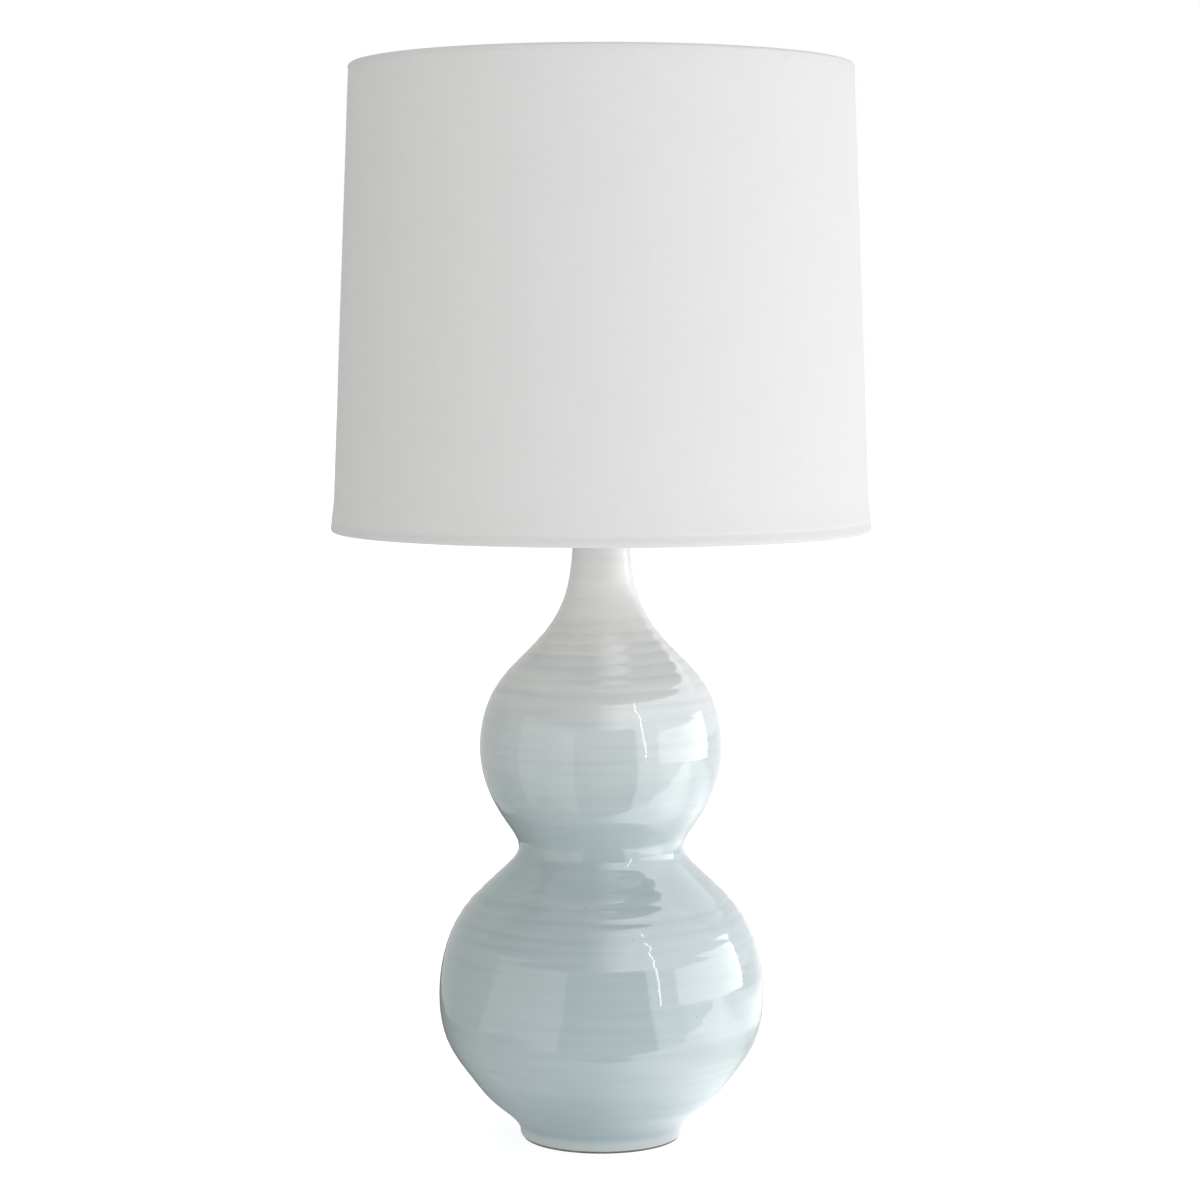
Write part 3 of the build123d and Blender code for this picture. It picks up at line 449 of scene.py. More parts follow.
CELADON = (0.468, 0.551, 0.566, 1)
CELADON_DEEP = (0.345, 0.443, 0.466, 1)
NECK_WHITE = (0.885, 0.890, 0.868, 1)
DRY_CLAY = (0.62, 0.57, 0.50, 1)
SPECK = (0.20, 0.22, 0.22, 1)
MELT = 14.0  # clouds to the metre, by which every level below wanders
WANDER = 0.06  # from the lowest to the highest, in metres, as are the levels
CELADON_BELOW, WHITE_FROM = 0.235, 0.430
SATIN_FROM = 0.385
DRY_BELOW = 0.0022
FOOT_HIGHLIGHT, FOOT_HIGHLIGHT_SHARE = (0.006, 0.013), 0.30  # painted highlight: paler round the foot, for the light that falls there
FOOTWARD_DEEP, FOOTWARD_DEEP_SHARE = (0.045, 0.105), 0.90  # and deeper in colour just above it
BRUSH, BRUSH_LENGTH, BRUSH_SHARE = 9.0, 16.0, 0.9  # streaks, and how much longer than high
DEEP, DEEPEST = (0.38, 1.0), 0.66  # depths that show, and how much of the deep colour they get
DEEP_ON_WHITE = 0.35  # of that is left on the neck
SPECK_CELLS, SPECK_EDGE, SPECK_SHARE = 85.0, (0.045, 0.03), 0.93
GLOSS, SATIN, DRY_ROUGH = (0.045, 0.085), 0.22, 0.85  # roughness, more of it, and that of clay
RIPPLE, FINE, FINE_SHARE = 42.0, 45.0, 0.10
GLAZE_RELIEF = 0.00022

glaze, tree, skin = coated("celadon_glaze")
place = place_on(tree)
height = add(tree, "ShaderNodeSeparateXYZ", {0: place}).outputs["Z"]
melt = noise(tree, place, MELT, detail=3.0)
wander = reckon(tree, "MULTIPLY_ADD", melt, WANDER, height)
fade = ranged(tree, wander, (CELADON_BELOW + WANDER / 2, WHITE_FROM + WANDER / 2), smooth=True)
colour = mixed_colour(tree, fade, CELADON, NECK_WHITE)

drawn = add(tree, "ShaderNodeMapping", {"Vector": place, "Scale": (1.0, 1.0, BRUSH_LENGTH)}).outputs[0]
brushed = noise(tree, drawn, BRUSH, detail=5.0, roughness=0.6)
pooled = add(tree, "ShaderNodeAttribute", attribute_name="glaze_depth").outputs["Fac"]
banded = reckon(tree, "MULTIPLY_ADD", brushed, BRUSH_SHARE, pooled)
deepening = reckon(tree, "ADD", ranged(tree, banded, DEEP, (0.0, DEEPEST)),
                  ranged(tree, wander, FOOTWARD_DEEP, (FOOTWARD_DEEP_SHARE, 0.0), smooth=True))
deepened = reckon(tree, "MULTIPLY", deepening, ranged(tree, fade, (0.0, 1.0), (1.0, DEEP_ON_WHITE)),
                  clamp=True)
colour = mixed_colour(tree, deepened, colour, CELADON_DEEP)
# Painted highlight: the glaze is mixed towards white in a band round the foot.
painted_foot_highlight = ranged(tree, height, FOOT_HIGHLIGHT, (FOOT_HIGHLIGHT_SHARE, 0.0), smooth=True)
colour = mixed_colour(tree, painted_foot_highlight, colour, NECK_WHITE)

cells = add(tree, "ShaderNodeTexVoronoi", {"Vector": place, "Scale": SPECK_CELLS}).outputs
chosen = add(tree, "ShaderNodeSeparateColor", {0: cells["Color"]}).outputs[0]
rare = reckon(tree, "GREATER_THAN", chosen, SPECK_SHARE)
specks = reckon(tree, "MULTIPLY", ranged(tree, cells["Distance"], SPECK_EDGE), rare)
colour = mixed_colour(tree, specks, colour, SPECK)
bare = reckon(tree, "LESS_THAN", height, DRY_BELOW)
colour = mixed_colour(tree, bare, colour, DRY_CLAY)

shine = reckon(tree, "ADD", ranged(tree, melt, (0.0, 1.0), GLOSS),
               ranged(tree, wander, (SATIN_FROM, WHITE_FROM), (0.0, SATIN)))
relief = reckon(tree, "MULTIPLY_ADD", noise(tree, drawn, FINE), FINE_SHARE,
                noise(tree, place, RIPPLE, detail=1.0))
feed(tree, skin, {"Base Color": colour, "Roughness": mixed(tree, bare, shine, DRY_ROUGH),
                  "Normal": bumped(tree, relief, 1.0, GLAZE_RELIEF), "IOR": 1.60})

gourd = piece_from_grid("glazed_gourd", turned_about(whole, angles[None, :]), glaze, closed_rows=True)
shape = gourd.data.attributes.new("glaze_depth", "FLOAT", "POINT")
shape.data.foreach_set("value", depth_of_glaze.reshape(-1).astype(np.float32))

CORD_LEVEL = (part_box("cord_grommet")[0].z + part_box("cord_grommet")[1].z) / 2
CORD_HOLE = 0.0046
SPOT_FACE = 0.0069
SPOT_FACE_AT = 0.063


def bore_through(piece, radius, start, end):
    """Cuts a round hole along Y at the cord's level, between two distances from the axis."""
    cutter_mesh = bpy.data.meshes.new("cutter")
    work = bmesh.new()
    bmesh.ops.create_cone(work, cap_ends=True, segments=48, radius1=radius, radius2=radius,
                          depth=end - start)
    bmesh.ops.rotate(work, verts=work.verts, matrix=Vector((0, 0, 1)).rotation_difference(
        Vector((0, 1, 0))).to_matrix())
    bmesh.ops.translate(work, verts=work.verts, vec=(0, (start + end) / 2, CORD_LEVEL))
    work.to_mesh(cutter_mesh)
    work.free()
    cutter = bpy.data.objects.new("cutter", cutter_mesh)
    bpy.context.scene.collection.objects.link(cutter)
    cut = piece.modifiers.new("bore", "BOOLEAN")
    cut.operation = "DIFFERENCE"
    cut.solver = "EXACT"
    cut.object = cutter
    bpy.context.view_layer.update()
    bored = bpy.data.meshes.new_from_object(piece.evaluated_get(bpy.context.evaluated_depsgraph_get()))
    piece.modifiers.clear()
    piece.data = bored
    bpy.data.objects.remove(cutter)


bore_through(gourd, SPOT_FACE, SPOT_FACE_AT, 0.100)
bore_through(gourd, CORD_HOLE, 0.030, SPOT_FACE_AT + 0.001)
gourd.data.set_sharp_from_angle(angle=math.radians(40))
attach(gourd, "base")
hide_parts("gourd_body")

# ------------------------------------------------------------------------------- rubber parts
# A black rubber bush snapped into the cord's hole at the back of the foot, and two rubber
# gaskets that keep the steel off the ceramic, one under the floor and one on the neck's rim.


def effect(name, takes, gives):
    """A shader node group that several finishes share, with its way in and its way out. Takes and
    gives pair a label with a kind of socket."""
    group = bpy.data.node_groups.new(name, "ShaderNodeTree")
    for label, kind in takes:
        group.interface.new_socket(label, in_out="INPUT", socket_type=kind)
    for label, kind in gives:
        group.interface.new_socket(label, in_out="OUTPUT", socket_type=kind)
    return group, group.nodes.new("NodeGroupInput"), group.nodes.new("NodeGroupOutput")


VECTOR, NUMBER = "NodeSocketVector", "NodeSocketFloat"

moulded_grain, way_in, way_out = effect("moulded_grain", [("Place", VECTOR), ("Scale", NUMBER)],
                                        [("Tone", NUMBER), ("Height", NUMBER)])
place, scale = way_in.outputs["Place"], way_in.outputs["Scale"]
slower = reckon(moulded_grain, "MULTIPLY", scale, 0.06)
feed(moulded_grain, way_out, {"Tone": noise(moulded_grain, place, slower),
                              "Height": noise(moulded_grain, place, scale, detail=5.0, roughness=0.65)})

DUST = (0.46, 0.44, 0.41, 1)
DUST_CLOUDS = 380.0  # to the metre
DUST_SLOPE = (0.35, 1.0)  # how far up a face looks, from where dust begins to stay on it
DUST_FLECKS = (0.40, 0.75)

settled_dust, way_in, way_out = effect("settled_dust", [("Place", VECTOR), ("Amount", NUMBER)],
                                       [("Mask", NUMBER)])
facing = add(settled_dust, "ShaderNodeNewGeometry").outputs["Normal"]
level = add(settled_dust, "ShaderNodeSeparateXYZ", {0: facing}).outputs["Z"]
drifts = noise(settled_dust, way_in.outputs["Place"], DUST_CLOUDS, detail=6.0, roughness=0.75)
lying = reckon(settled_dust, "MULTIPLY", ranged(settled_dust, level, DUST_SLOPE),
               ranged(settled_dust, drifts, DUST_FLECKS))
feed(settled_dust, way_out, {"Mask": reckon(settled_dust, "MULTIPLY", lying, way_in.outputs["Amount"],
                                            clamp=True)})


def placed(tree, effect_group, place, **amounts):
    """The outputs of a shared effect that is put into a material with its own values."""
    return add(tree, "ShaderNodeGroup", {"Place": place, **amounts}, node_tree=effect_group).outputs


def moulded(name, dark, pale, roughness, grain, depth, dust):
    """A moulded or pressed material: two close tones in slow clouds, a fine grain, dust on top."""
    finish, tree, skin = coated(name)
    place = place_on(tree)
    surface = placed(tree, moulded_grain, place, Scale=grain)
    fallen = placed(tree, settled_dust, place, Amount=dust)["Mask"]
    tone = mixed_colour(tree, surface["Tone"], dark, pale)
    rough = (roughness * 0.85, min(roughness * 1.2, 1.0))
    feed(tree, skin, {"Base Color": mixed_colour(tree, fallen, tone, DUST),
                      "Roughness": ranged(tree, surface["Tone"], (0.3, 0.7), rough),
                      "Normal": bumped(tree, surface["Height"], 0.6, depth)})
    return finish


rubber = moulded("black_rubber", (0.022, 0.022, 0.023, 1), (0.045, 0.045, 0.046, 1), 0.62,
                 grain=1500.0, depth=0.00012, dust=0.35)
dress(rubber, "cord_grommet", "base_gasket", "neck_gasket")

# ------------------------------------------------------------------------------- pipe and nuts
# The threaded pipe that runs up the middle and draws the whole lamp together, with the
# washer, lock washer and nuts on it. They are cut from steel and plated with zinc.

handled, way_in, way_out = effect("handled", [("Place", VECTOR), ("Scale", NUMBER)],
                                  [("Smudge", NUMBER), ("Scratch", NUMBER)])
place, scale = way_in.outputs["Place"], way_in.outputs["Scale"]
breath = noise(handled, place, scale, detail=4.0)
slanted = add(handled, "ShaderNodeMapping", {"Vector": place, "Scale": (1.0, 14.0, 3.0),
                                             "Rotation": (0.5, 0.3, 0.7)}).outputs[0]
closer = reckon(handled, "MULTIPLY", scale, 7.0)
feed(handled, way_out, {"Smudge": ranged(handled, breath, (0.42, 0.68)),
                        "Scratch": noise(handled, slanted, closer, detail=3.0)})


def metal(name, clean, dulled, roughness, marks, scratch, dust, spread=0.14):
    """Bare or plated metal: a mirror that is rougher and duller where it has been handled, with
    hair scratches and a little dust on the faces that look up."""
    finish, tree, skin = coated(name)
    place = place_on(tree)
    wear = placed(tree, handled, place, Scale=marks)
    fallen = placed(tree, settled_dust, place, Amount=dust)["Mask"]
    tone = mixed_colour(tree, wear["Smudge"], clean, dulled)
    rough = ranged(tree, wear["Smudge"], (0.0, 1.0), (roughness, roughness + spread))
    feed(tree, skin, {"Base Color": mixed_colour(tree, fallen, tone, DUST),
                      "Metallic": reckon(tree, "SUBTRACT", 1.0, fallen),
                      "Roughness": reckon(tree, "MULTIPLY_ADD", fallen, 0.5, rough),
                      "Normal": bumped(tree, wear["Scratch"], 0.5, scratch)})
    return finish


zinc = metal("zinc_plate", (0.62, 0.64, 0.66, 1), (0.46, 0.48, 0.51, 1), 0.28, marks=120.0,
             scratch=0.00005, dust=0.15)
dress(zinc, "lamp_pipe", "base_washer", "base_lock_washer", "base_nut", "pipe_lock_nut")

# ------------------------------------------------------------------------------- neck fittings
# A spun cap that covers the neck's rim, and a turned tube that holds the harp above it. Both
# are brass under polished nickel, and the pipe's nut clamps them down.

NICKEL_CLEAN = (0.76, 0.72, 0.67, 1)
NICKEL_DULL = (0.62, 0.585, 0.54, 1)
nickel = metal("polished_nickel", NICKEL_CLEAN, NICKEL_DULL, 0.07, marks=60.0, scratch=0.00002,
               dust=0.12, spread=0.10)
dress(nickel, "vase_cap", "neck_tube")

# ------------------------------------------------------------------------------- harp
# A bowed wire that carries the shade over the bulb. It stands on two posts of a steel saddle,
# where two sleeves lock it, and it has a flattened eye at its crown. All of it is nickelled.

dress(nickel, "harp_saddle", "harp", "ferrule_left", "ferrule_right")

# ------------------------------------------------------------------------------- swivel stud
# A turned stud riveted in the harp's eye, so that the shade can turn. Its shoulder carries the
# hub, and the finial is screwed on its thread.

STUD_COLUMNS = 48
STUD_PITCH = 0.94
STUD_THREAD = 0.30  # depth, in millimetres
STUD_ROWS = 140
SHANK, CREST = 2.53, 3.175
stud_low, stud_high = (v.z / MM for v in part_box("harp_stud"))
hub_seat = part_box("spider_hub")[0].z / MM
eye_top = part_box("harp")[1].z / MM


def helix_depth(height, angle, pitch, low, high, fade):
    """How deep a rounded thread is, from nought to one. Its phase is the height over the pitch
    less the angle over a turn, and it dies out over a short run at both ends."""
    turns = height / pitch - angle / (2 * np.pi)
    ends = np.clip((height - low) / fade, 0, 1) * np.clip((high - height) / fade, 0, 1)
    return ends * (0.5 - 0.5 * np.cos(2 * np.pi * turns))


def stacked(*lines):
    """Puts profile lines end to end. A line of single points is the same all the way round."""
    columns = max(line.shape[1] for line in lines if line.ndim == 3)
    spread = [line if line.ndim == 3 else np.repeat(line[:, None, :], columns, axis=1) for line in lines]
    return np.concatenate(spread)


def close_poles(piece, sharp):
    """Merges the points that meet on the axis, turns every face outwards and marks sharp edges."""
    work = bmesh.new()
    work.from_mesh(piece.data)
    bmesh.ops.remove_doubles(work, verts=work.verts, dist=1e-6)
    bmesh.ops.recalc_face_normals(work, faces=work.faces)
    work.to_mesh(piece.data)
    work.free()
    piece.data.set_sharp_from_angle(angle=math.radians(sharp))


def threaded_line(radius, depth, pitch, low, high, rows, columns, fade):
    """The profile of a thread at each angle: its radius less the depth of the helix."""
    height = np.linspace(low, high, rows)[:, None]
    turn = full_turn(columns)[None, :]
    reach = radius - depth * helix_depth(height, turn, pitch, low, high, fade)
    return np.stack(np.broadcast_arrays(reach, height), axis=-1)


stud_line = stacked(
    np.array([(0, stud_low), (2.2, stud_low), (3.3, stud_low + 0.35), (4.0, stud_low + 1.1),
              (4.0, stud_low + 2.0), (SHANK, stud_low + 2.0), (SHANK, eye_top + 0.2),
              (8.7, eye_top + 0.2), (9.0, eye_top + 0.5), (9.0, hub_seat - 0.5), (8.5, hub_seat),
              (2.9, hub_seat), (2.9, hub_seat + 0.6)]),
    threaded_line(CREST, STUD_THREAD, STUD_PITCH, hub_seat + 0.8, stud_high - 0.7, STUD_ROWS,
                  STUD_COLUMNS, 0.6),
    np.array([(2.45, stud_high), (0, stud_high)]))
stud = piece_from_grid("swivel_stud", turned_about(stud_line * MM, full_turn(STUD_COLUMNS)), nickel)
close_poles(stud, 40)
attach(stud, "swivel")
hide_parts("harp_stud")

# ------------------------------------------------------------------------------- lamp holder
# A nickelled shell in two halves that snap together, a waxed paper sleeve inside it, and a
# moulded block that carries the terminal screws, the centre contact and the screw shell.

dress(nickel, "socket_cap", "socket_shell")
dress(zinc, "socket_set_screw")
liner = moulded("waxed_paper", (0.36, 0.25, 0.15, 1), (0.52, 0.39, 0.25, 1), 0.70, grain=900.0,
                depth=0.00010, dust=0.2)
dress(liner, "socket_insulator")
phenolic = moulded("dark_moulding", (0.030, 0.024, 0.020, 1), (0.055, 0.045, 0.037, 1), 0.38,
                   grain=700.0, depth=0.00004, dust=0.3)
dress(phenolic, "socket_body")
brass = metal("bare_brass", (0.80, 0.60, 0.30, 1), (0.55, 0.38, 0.18, 1), 0.24, marks=150.0,
              scratch=0.00004, dust=0.1)
dress(brass, "terminal_screws", "centre_contact")
aluminium = metal("bare_aluminium", (0.80, 0.81, 0.82, 1), (0.62, 0.63, 0.65, 1), 0.26, marks=140.0,
                  scratch=0.00005, dust=0.1)

LAMP_PITCH = 3.629
LAMP_COLUMNS = 96
LAMP_ROWS = 56
lamp_angles = full_turn(LAMP_COLUMNS)
SHELL_CREST, SHELL_ROOT, SHELL_SHEET = 13.12, 13.60, 0.42
shell_low, shell_high = (v.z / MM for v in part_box("screw_shell"))
shell_inner = threaded_line(SHELL_ROOT, SHELL_ROOT - SHELL_CREST, LAMP_PITCH, shell_low + 1.2,
                            shell_high, LAMP_ROWS, LAMP_COLUMNS, 1.5)
shell_line = stacked(
    np.array([(6.5, shell_low), (13.4, shell_low), (SHELL_ROOT + SHELL_SHEET, shell_low + 0.6)]),
    shell_inner + np.array([SHELL_SHEET, 0]),
    shell_inner[::-1],
    np.array([(SHELL_ROOT - 0.2, shell_low + 0.6), (6.5, shell_low + 0.5)]))
screw_shell = piece_from_grid("threaded_shell", turned_about(shell_line * MM, lamp_angles), aluminium,
                              closed_rows=True)
close_poles(screw_shell, 50)
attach(screw_shell, "base")
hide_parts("screw_shell")

# ------------------------------------------------------------------------------- switch
# A steel spindle out of the front of the shell, with a black moulded knob pressed on it. The
# knob's flutes are polished by fingers.

dress(zinc, "switch_spindle")
knob_black = moulded("knob_moulding", (0.016, 0.016, 0.017, 1), (0.030, 0.030, 0.031, 1), 0.22,
                     grain=500.0, depth=0.00002, dust=0.3)
dress(knob_black, "switch_knob")

# ------------------------------------------------------------------------------- bulb
# A frosted bulb: a blown glass globe coated white on the inside, a thin aluminium base with a
# rolled thread, and a disc of black glass with a brass contact at the tip.

POWDER_DARK = (0.80, 0.80, 0.78, 1)
POWDER_PALE = (0.90, 0.90, 0.885, 1)
POWDER = 900.0  # grains to the metre

opal, tree, skin = coated("frosted_glass")
place = place_on(tree)
wear = placed(tree, handled, place, Scale=70.0)
powder = noise(tree, place, POWDER, detail=3.0)
feed(tree, skin, {"Base Color": mixed_colour(tree, powder, POWDER_DARK, POWDER_PALE),
                  "Roughness": ranged(tree, wear["Smudge"], (0.0, 1.0), (0.16, 0.28)),
                  "Normal": bumped(tree, powder, 0.3, 0.00005)})
dress(opal, "bulb_glass")

base_low, base_high = (v.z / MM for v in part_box("bulb_base"))
BASE_CREST, BASE_ROOT, BASE_SHEET = 13.0, 12.2, 0.40
CONE_TOP = base_low + 2.6
COLLAR = base_high - 3.4
base_thread = threaded_line(BASE_CREST, BASE_CREST - BASE_ROOT, LAMP_PITCH, CONE_TOP, COLLAR, LAMP_ROWS,
                            LAMP_COLUMNS, 1.2)
base_line = stacked(
    np.array([(9.4, base_low), (10.4, base_low), (11.6, base_low + 0.7), (12.6, CONE_TOP - 0.5)]),
    base_thread,
    np.array([(12.9, COLLAR + 0.4), (12.9, base_high - 0.3), (12.75, base_high), (12.5, base_high)]),
    np.array([(12.5, COLLAR)]),
    base_thread[::-1] - np.array([BASE_SHEET, 0]),
    np.array([(11.9, CONE_TOP - 0.3), (9.4, base_low + 0.5)]))
bulb_cap = piece_from_grid("bulb_cap", turned_about(base_line * MM, lamp_angles), aluminium,
                           closed_rows=True)
close_poles(bulb_cap, 50)
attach(bulb_cap, "bulb")
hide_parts("bulb_base")

black_glass = moulded("black_glass", (0.012, 0.012, 0.016, 1), (0.022, 0.022, 0.028, 1), 0.10,
                      grain=300.0, depth=0.00001, dust=0.05)
dress(black_glass, "bulb_insulator")
dress(brass, "bulb_contact")

# ------------------------------------------------------------------------------- shade frame
# Two rings of zinc-plated wire, one in each edge of the shade, and a nickelled hub on three
# arms that are welded to the top ring. A stiff white plastic sheet is bent round the rings.

dress(zinc, "shade_top_ring", "shade_bottom_ring")
dress(nickel, "spider_hub", "spider_arms")

SHEET_DARK = (0.86, 0.86, 0.84, 1)
SHEET_PALE = (0.92, 0.92, 0.905, 1)
LINING_SHARE = 0.35  # of the light that the sheet lets through


def let_light_through(tree, skin, share, colour, normal):
    """Mixes a share of light that passes through into a material's own shader."""
    through = add(tree, "ShaderNodeBsdfTranslucent", {"Color": colour, "Normal": normal}).outputs[0]
    both = add(tree, "ShaderNodeMixShader", {0: share, 1: skin.outputs[0], 2: through}).outputs[0]
    feed(tree, tree.nodes["Material Output"], {"Surface": both})


sheet_white, tree, skin = coated("styrene_sheet")
surface = placed(tree, moulded_grain, place_on(tree), Scale=500.0)
tone = mixed_colour(tree, surface["Tone"], SHEET_DARK, SHEET_PALE)
bump = bumped(tree, surface["Height"], 0.3, 0.00005)
feed(tree, skin, {"Base Color": tone, "Normal": bump,
                  "Roughness": ranged(tree, surface["Tone"], (0.0, 1.0), (0.42, 0.60))})
let_light_through(tree, skin, LINING_SHARE, tone, bump)
dress(sheet_white, "shade_lining")

# ------------------------------------------------------------------------------- linen
# White linen bonded to the sheet, lapped down the back, rolled over both rings and glued to
# the inside. It stands out a little where it goes round the lower ring.

SHADE_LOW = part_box("shade_fabric")[0].z / MM
SHADE_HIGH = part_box("shade_fabric")[1].z / MM
BOTTOM_RADIUS, TOP_RADIUS = 203.2, 189.4
CLOTH, SHEET, ROLL = 0.45, 1.1, 2.1  # thicknesses, and the rolled edge's radius
HEM = 9.0  # turned in and glued
FLARE, FLARE_RUN = 1.5, 24.0  # how far it stands out at the lower edge, and over what height
TOP_SWELL, TOP_RUN = 0.35, 5.0
GROOVE, GROOVE_AT, HIGH_GROOVE_AT, GROOVE_RUN = 0.30, 7.2, 5.5, 1.5  # where the hem inside ends
LAP_PROUD, LAP_WIDE = 0.55, 12.0
WAVES_FADE = 30.0  # the soft waves die out over this distance from both edges
CLOTH_COLUMNS = 240
LAP_COLUMNS = 24

slope_run, slope_rise = TOP_RADIUS - BOTTOM_RADIUS, SHADE_HIGH - SHADE_LOW
slant = math.hypot(slope_run, slope_rise)


def eased(value):
    """Nought below nought, one above one, and a smooth rise between them."""
    value = np.clip(value, 0, 1)
    return value * value * (3 - 2 * value)


def hem_round(proud, steps):
    """The linen's outer face from its inner end, back over the ring and out to the wall, as
    distances from the edge and inwards: a slope, then a half ellipse from 2 ROLL to -proud."""
    turn = np.linspace(0, np.pi, steps)
    half = (2 * ROLL + proud) / 2
    arc = np.stack([ROLL * (1 - np.sin(turn)), half - proud + half * np.cos(turn)], axis=1)
    inner = np.array([(HEM, SHEET + CLOTH + 0.05), (HEM - 1.2, SHEET + CLOTH + 0.05),
                      (6.0, 2.4), (4.4, 3.6), (3.2, 4.1)])
    return np.concatenate([inner, arc])


wall_along = np.concatenate([np.linspace(ROLL + 0.5, 14, 22), np.linspace(17, slant - 12, 56),
                             np.linspace(slant - 10, slant - ROLL - 0.5, 12)])
swell = (FLARE * (1 - eased((wall_along - 2) / FLARE_RUN))
         + TOP_SWELL * (1 - eased((slant - wall_along) / TOP_RUN))
         - GROOVE * np.exp(-(((wall_along - GROOVE_AT) / GROOVE_RUN) ** 2))
         - 0.5 * GROOVE * np.exp(-(((slant - wall_along - HIGH_GROOVE_AT) / GROOVE_RUN) ** 2)))
low_hem = hem_round(FLARE, 15)
high_hem = hem_round(TOP_SWELL, 15)[::-1] * [-1, 1] + [slant, 0]
cloth_line = np.concatenate([low_hem, np.stack([wall_along, -swell], axis=1), high_hem])
walked = np.r_[0, np.cumsum(np.hypot(*np.diff(cloth_line, axis=0).T))]

back = np.pi / 2
lap_angle = LAP_WIDE / BOTTOM_RADIUS
open_angles = np.linspace(back + 1.6 * lap_angle, back + 2 * np.pi - 1.6 * lap_angle, CLOTH_COLUMNS)
lap_angles = back + 2 * np.pi + np.linspace(-1.5, 1.5, LAP_COLUMNS) * lap_angle
cloth_angles = np.concatenate([open_angles, lap_angles])
from_lap = (cloth_angles - back - 2 * np.pi) / lap_angle
lap = LAP_PROUD * eased((from_lap + 0.5) / 0.9) * (from_lap < 0.47)
along, around = cloth_line[:, 0][:, None], cloth_angles[None, :]
soft_waves = (0.10 * np.sin(5 * around + along / 70) * np.sin(along / 51 + 0.4)
              + 0.05 * np.sin(17 * around - along / 37) * np.sin(along / 23))
off_edges = eased(along / WAVES_FADE) * eased((slant - along) / WAVES_FADE)
inward = cloth_line[:, 1][:, None]
inward = inward - soft_waves * off_edges - lap[None, :] * (inward < ROLL)
radius = BOTTOM_RADIUS + along * slope_run / slant - inward * slope_rise / slant
level = SHADE_LOW + along * slope_rise / slant + inward * slope_run / slant
cloth_points = turned_about(np.stack([radius, level], axis=-1) * MM, around)

cloth_spread = np.stack(np.broadcast_arrays((around - back) * BOTTOM_RADIUS * MM,
                                            walked[:, None] * MM), axis=-1)
once_round = [2 * np.pi * BOTTOM_RADIUS * MM, 0]
cloth_spread = np.concatenate([cloth_spread, cloth_spread[:, :1] + once_round], axis=1)

LINEN_PALE = (0.925, 0.925, 0.922, 1)
LINEN_DARK = (0.885, 0.885, 0.880, 1)
LINEN_TONES = (0.34, 0.62)  # of the mottle, from dark to pale
LINEN_PAINTED_SHADE = (0.955, 0.955, 0.955, 1)  # painted shade: darker where it is folded over, for the light that comes through less there
LOW_BAND, LOW_FADE = 0.0020, 0.004  # the height of that over the lower fold, in metres
HIGH_BAND, HIGH_FADE = 0.0015, 0.001
THREAD = 0.00052
THREAD_DRAWN = 55.0  # changes of thickness to the metre along a thread
WEFT_SHARE, CLOUD_SHARE = 0.62, 0.15
CLOUDS = 24.0  # to the metre
SLUB_HEIGHT = 1.4  # next to the weave's
WEAVE_RELIEF = 0.00012
LINEN_SHARE = 0.12
fold_low, fold_high = walked[len(low_hem)] * MM, walked[-len(high_hem) - 1] * MM

linen, tree, skin = coated("white_linen")
cloth_place = add(tree, "ShaderNodeUVMap", uv_map="cloth").outputs[0]
parts = add(tree, "ShaderNodeSeparateXYZ", {0: cloth_place}).outputs


def thread_bank(across, seed):
    """One bank of threads: how round it is across a thread, and how thick along it. The thickness
    is a noise that is drawn out along the thread and changes from one thread to the next."""
    stretch = (1 / THREAD, THREAD_DRAWN, 1.0) if across == "X" else (THREAD_DRAWN, 1 / THREAD, 1.0)
    drawn = add(tree, "ShaderNodeMapping", {"Vector": cloth_place, "Scale": stretch,
                                            "Location": (seed, seed, seed)}).outputs[0]
    wave = reckon(tree, "SINE", reckon(tree, "MULTIPLY", parts[across], math.pi / THREAD))
    return reckon(tree, "ABSOLUTE", wave), noise(tree, drawn, 0.8, detail=3.0, roughness=0.6)


warp, warp_thick = thread_bank("X", 3.1)
weft, weft_thick = thread_bank("Y", 8.7)
over = add(tree, "ShaderNodeTexChecker", {"Vector": cloth_place, "Scale": 1 / THREAD}).outputs["Fac"]
woven = mixed(tree, over, warp, weft)
slubs = mixed(tree, WEFT_SHARE, warp_thick, weft_thick)
mottle = mixed(tree, CLOUD_SHARE, slubs, noise(tree, cloth_place, CLOUDS, detail=3.0))
yarn = mixed_colour(tree, ranged(tree, mottle, LINEN_TONES), LINEN_DARK, LINEN_PALE)
# Painted shade: the linen is made darker in a band over each fold, where less light would come through.
low_band = ranged(tree, parts["Y"], (fold_low + LOW_BAND, fold_low + LOW_BAND + LOW_FADE), (1.0, 0.0))
high_band = ranged(tree, parts["Y"], (fold_high - HIGH_BAND - HIGH_FADE, fold_high - HIGH_BAND))
painted_hem_shade = reckon(tree, "MAXIMUM", low_band, high_band)
yarn = mixed_colour(tree, painted_hem_shade, yarn, LINEN_PAINTED_SHADE, way="MULTIPLY")
weave = bumped(tree, reckon(tree, "MULTIPLY_ADD", slubs, SLUB_HEIGHT, woven), 0.55, WEAVE_RELIEF)
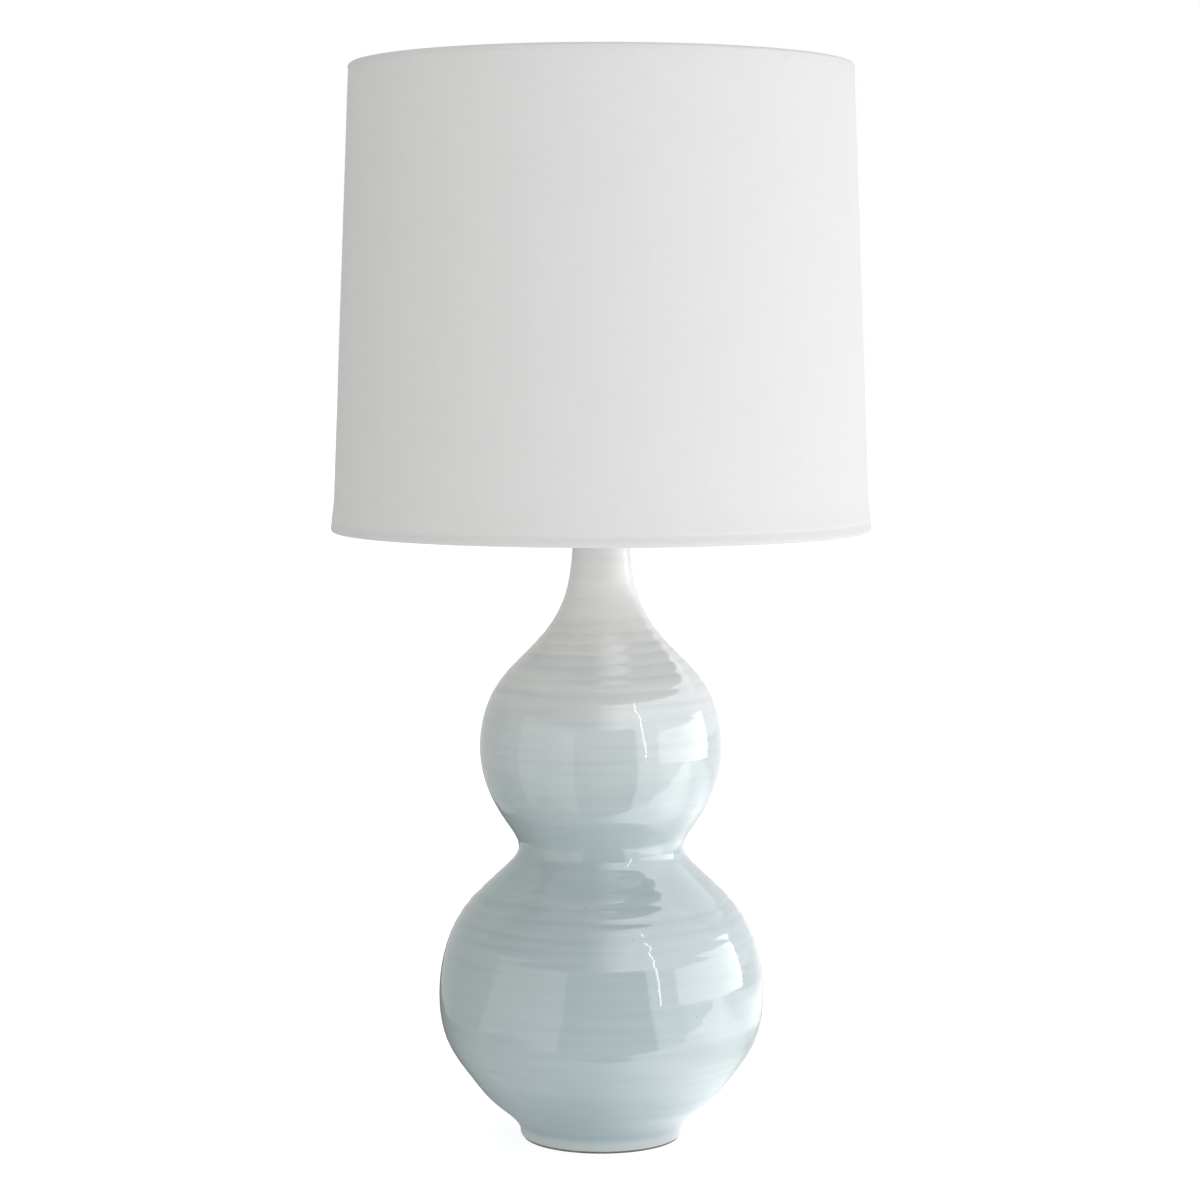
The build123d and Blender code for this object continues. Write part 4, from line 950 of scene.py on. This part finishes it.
feed(tree, skin, {"Base Color": yarn, "Normal": weave, "Specular IOR Level": 0.2, "Sheen Weight": 0.15,
                  "Roughness": ranged(tree, woven, (0.0, 1.0), (0.95, 0.80))})
let_light_through(tree, skin, LINEN_SHARE, yarn, weave)

cover = piece_from_grid("linen_cover", cloth_points, linen, spread=cloth_spread)
cover.data.flip_normals()
cloth_wall = cover.modifiers.new("cloth", "SOLIDIFY")
cloth_wall.thickness = CLOTH * MM
cloth_wall.offset = -1
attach(cover, "shade")
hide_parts("shade_fabric")

# ------------------------------------------------------------------------------- finial
# A turned brass finial under nickel: a flange that clamps the hub, a waist to grip and a ball.
# Its blind thread goes down over the stud.

FINIAL_COLUMNS = 72
BALL = 11.0
BALL_NECK = 5.6
COLLAR_RADIUS, COLLAR_ROUND, COLLAR_BELOW_BALL = 5.3, 0.85, 10.1
BORE = 3.25
BORE_TOP = hub_seat + 19.5
finial_seat, finial_top = (v.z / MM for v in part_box("finial"))
ball_level = finial_top - BALL
ball_from = math.asin(BALL_NECK / BALL)
sweep = np.linspace(np.pi - ball_from, 0, 48)
ball_line = np.stack([BALL * np.sin(sweep), ball_level + BALL * np.cos(sweep)], axis=1)
waist = smooth_line([(6.7, finial_seat + 2.9), (5.3, finial_seat + 4.6), (4.9, finial_seat + 7.5),
                     (5.25, ball_level - 11.0)], (-1, 0.6), (0.3, 1), 18)
ring = np.linspace(-np.pi / 2, np.pi / 2, 9)
collar = np.stack([COLLAR_RADIUS + COLLAR_ROUND * np.cos(ring),
                   ball_level - COLLAR_BELOW_BALL + COLLAR_ROUND * np.sin(ring)], axis=1)
finial_line = np.concatenate([
    [(0, BORE_TOP), (BORE, BORE_TOP), (BORE, finial_seat + 0.4), (BORE + 0.4, finial_seat),
     (7.1, finial_seat), (7.5, finial_seat + 0.4), (7.5, finial_seat + 2.0), (7.1, finial_seat + 2.5)],
    waist, collar, ball_line])
finial_piece = piece_from_grid("turned_finial", turned_about(finial_line * MM, full_turn(FINIAL_COLUMNS)),
                               nickel)
close_poles(finial_piece, 38)
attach(finial_piece, "finial_body")
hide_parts("finial")
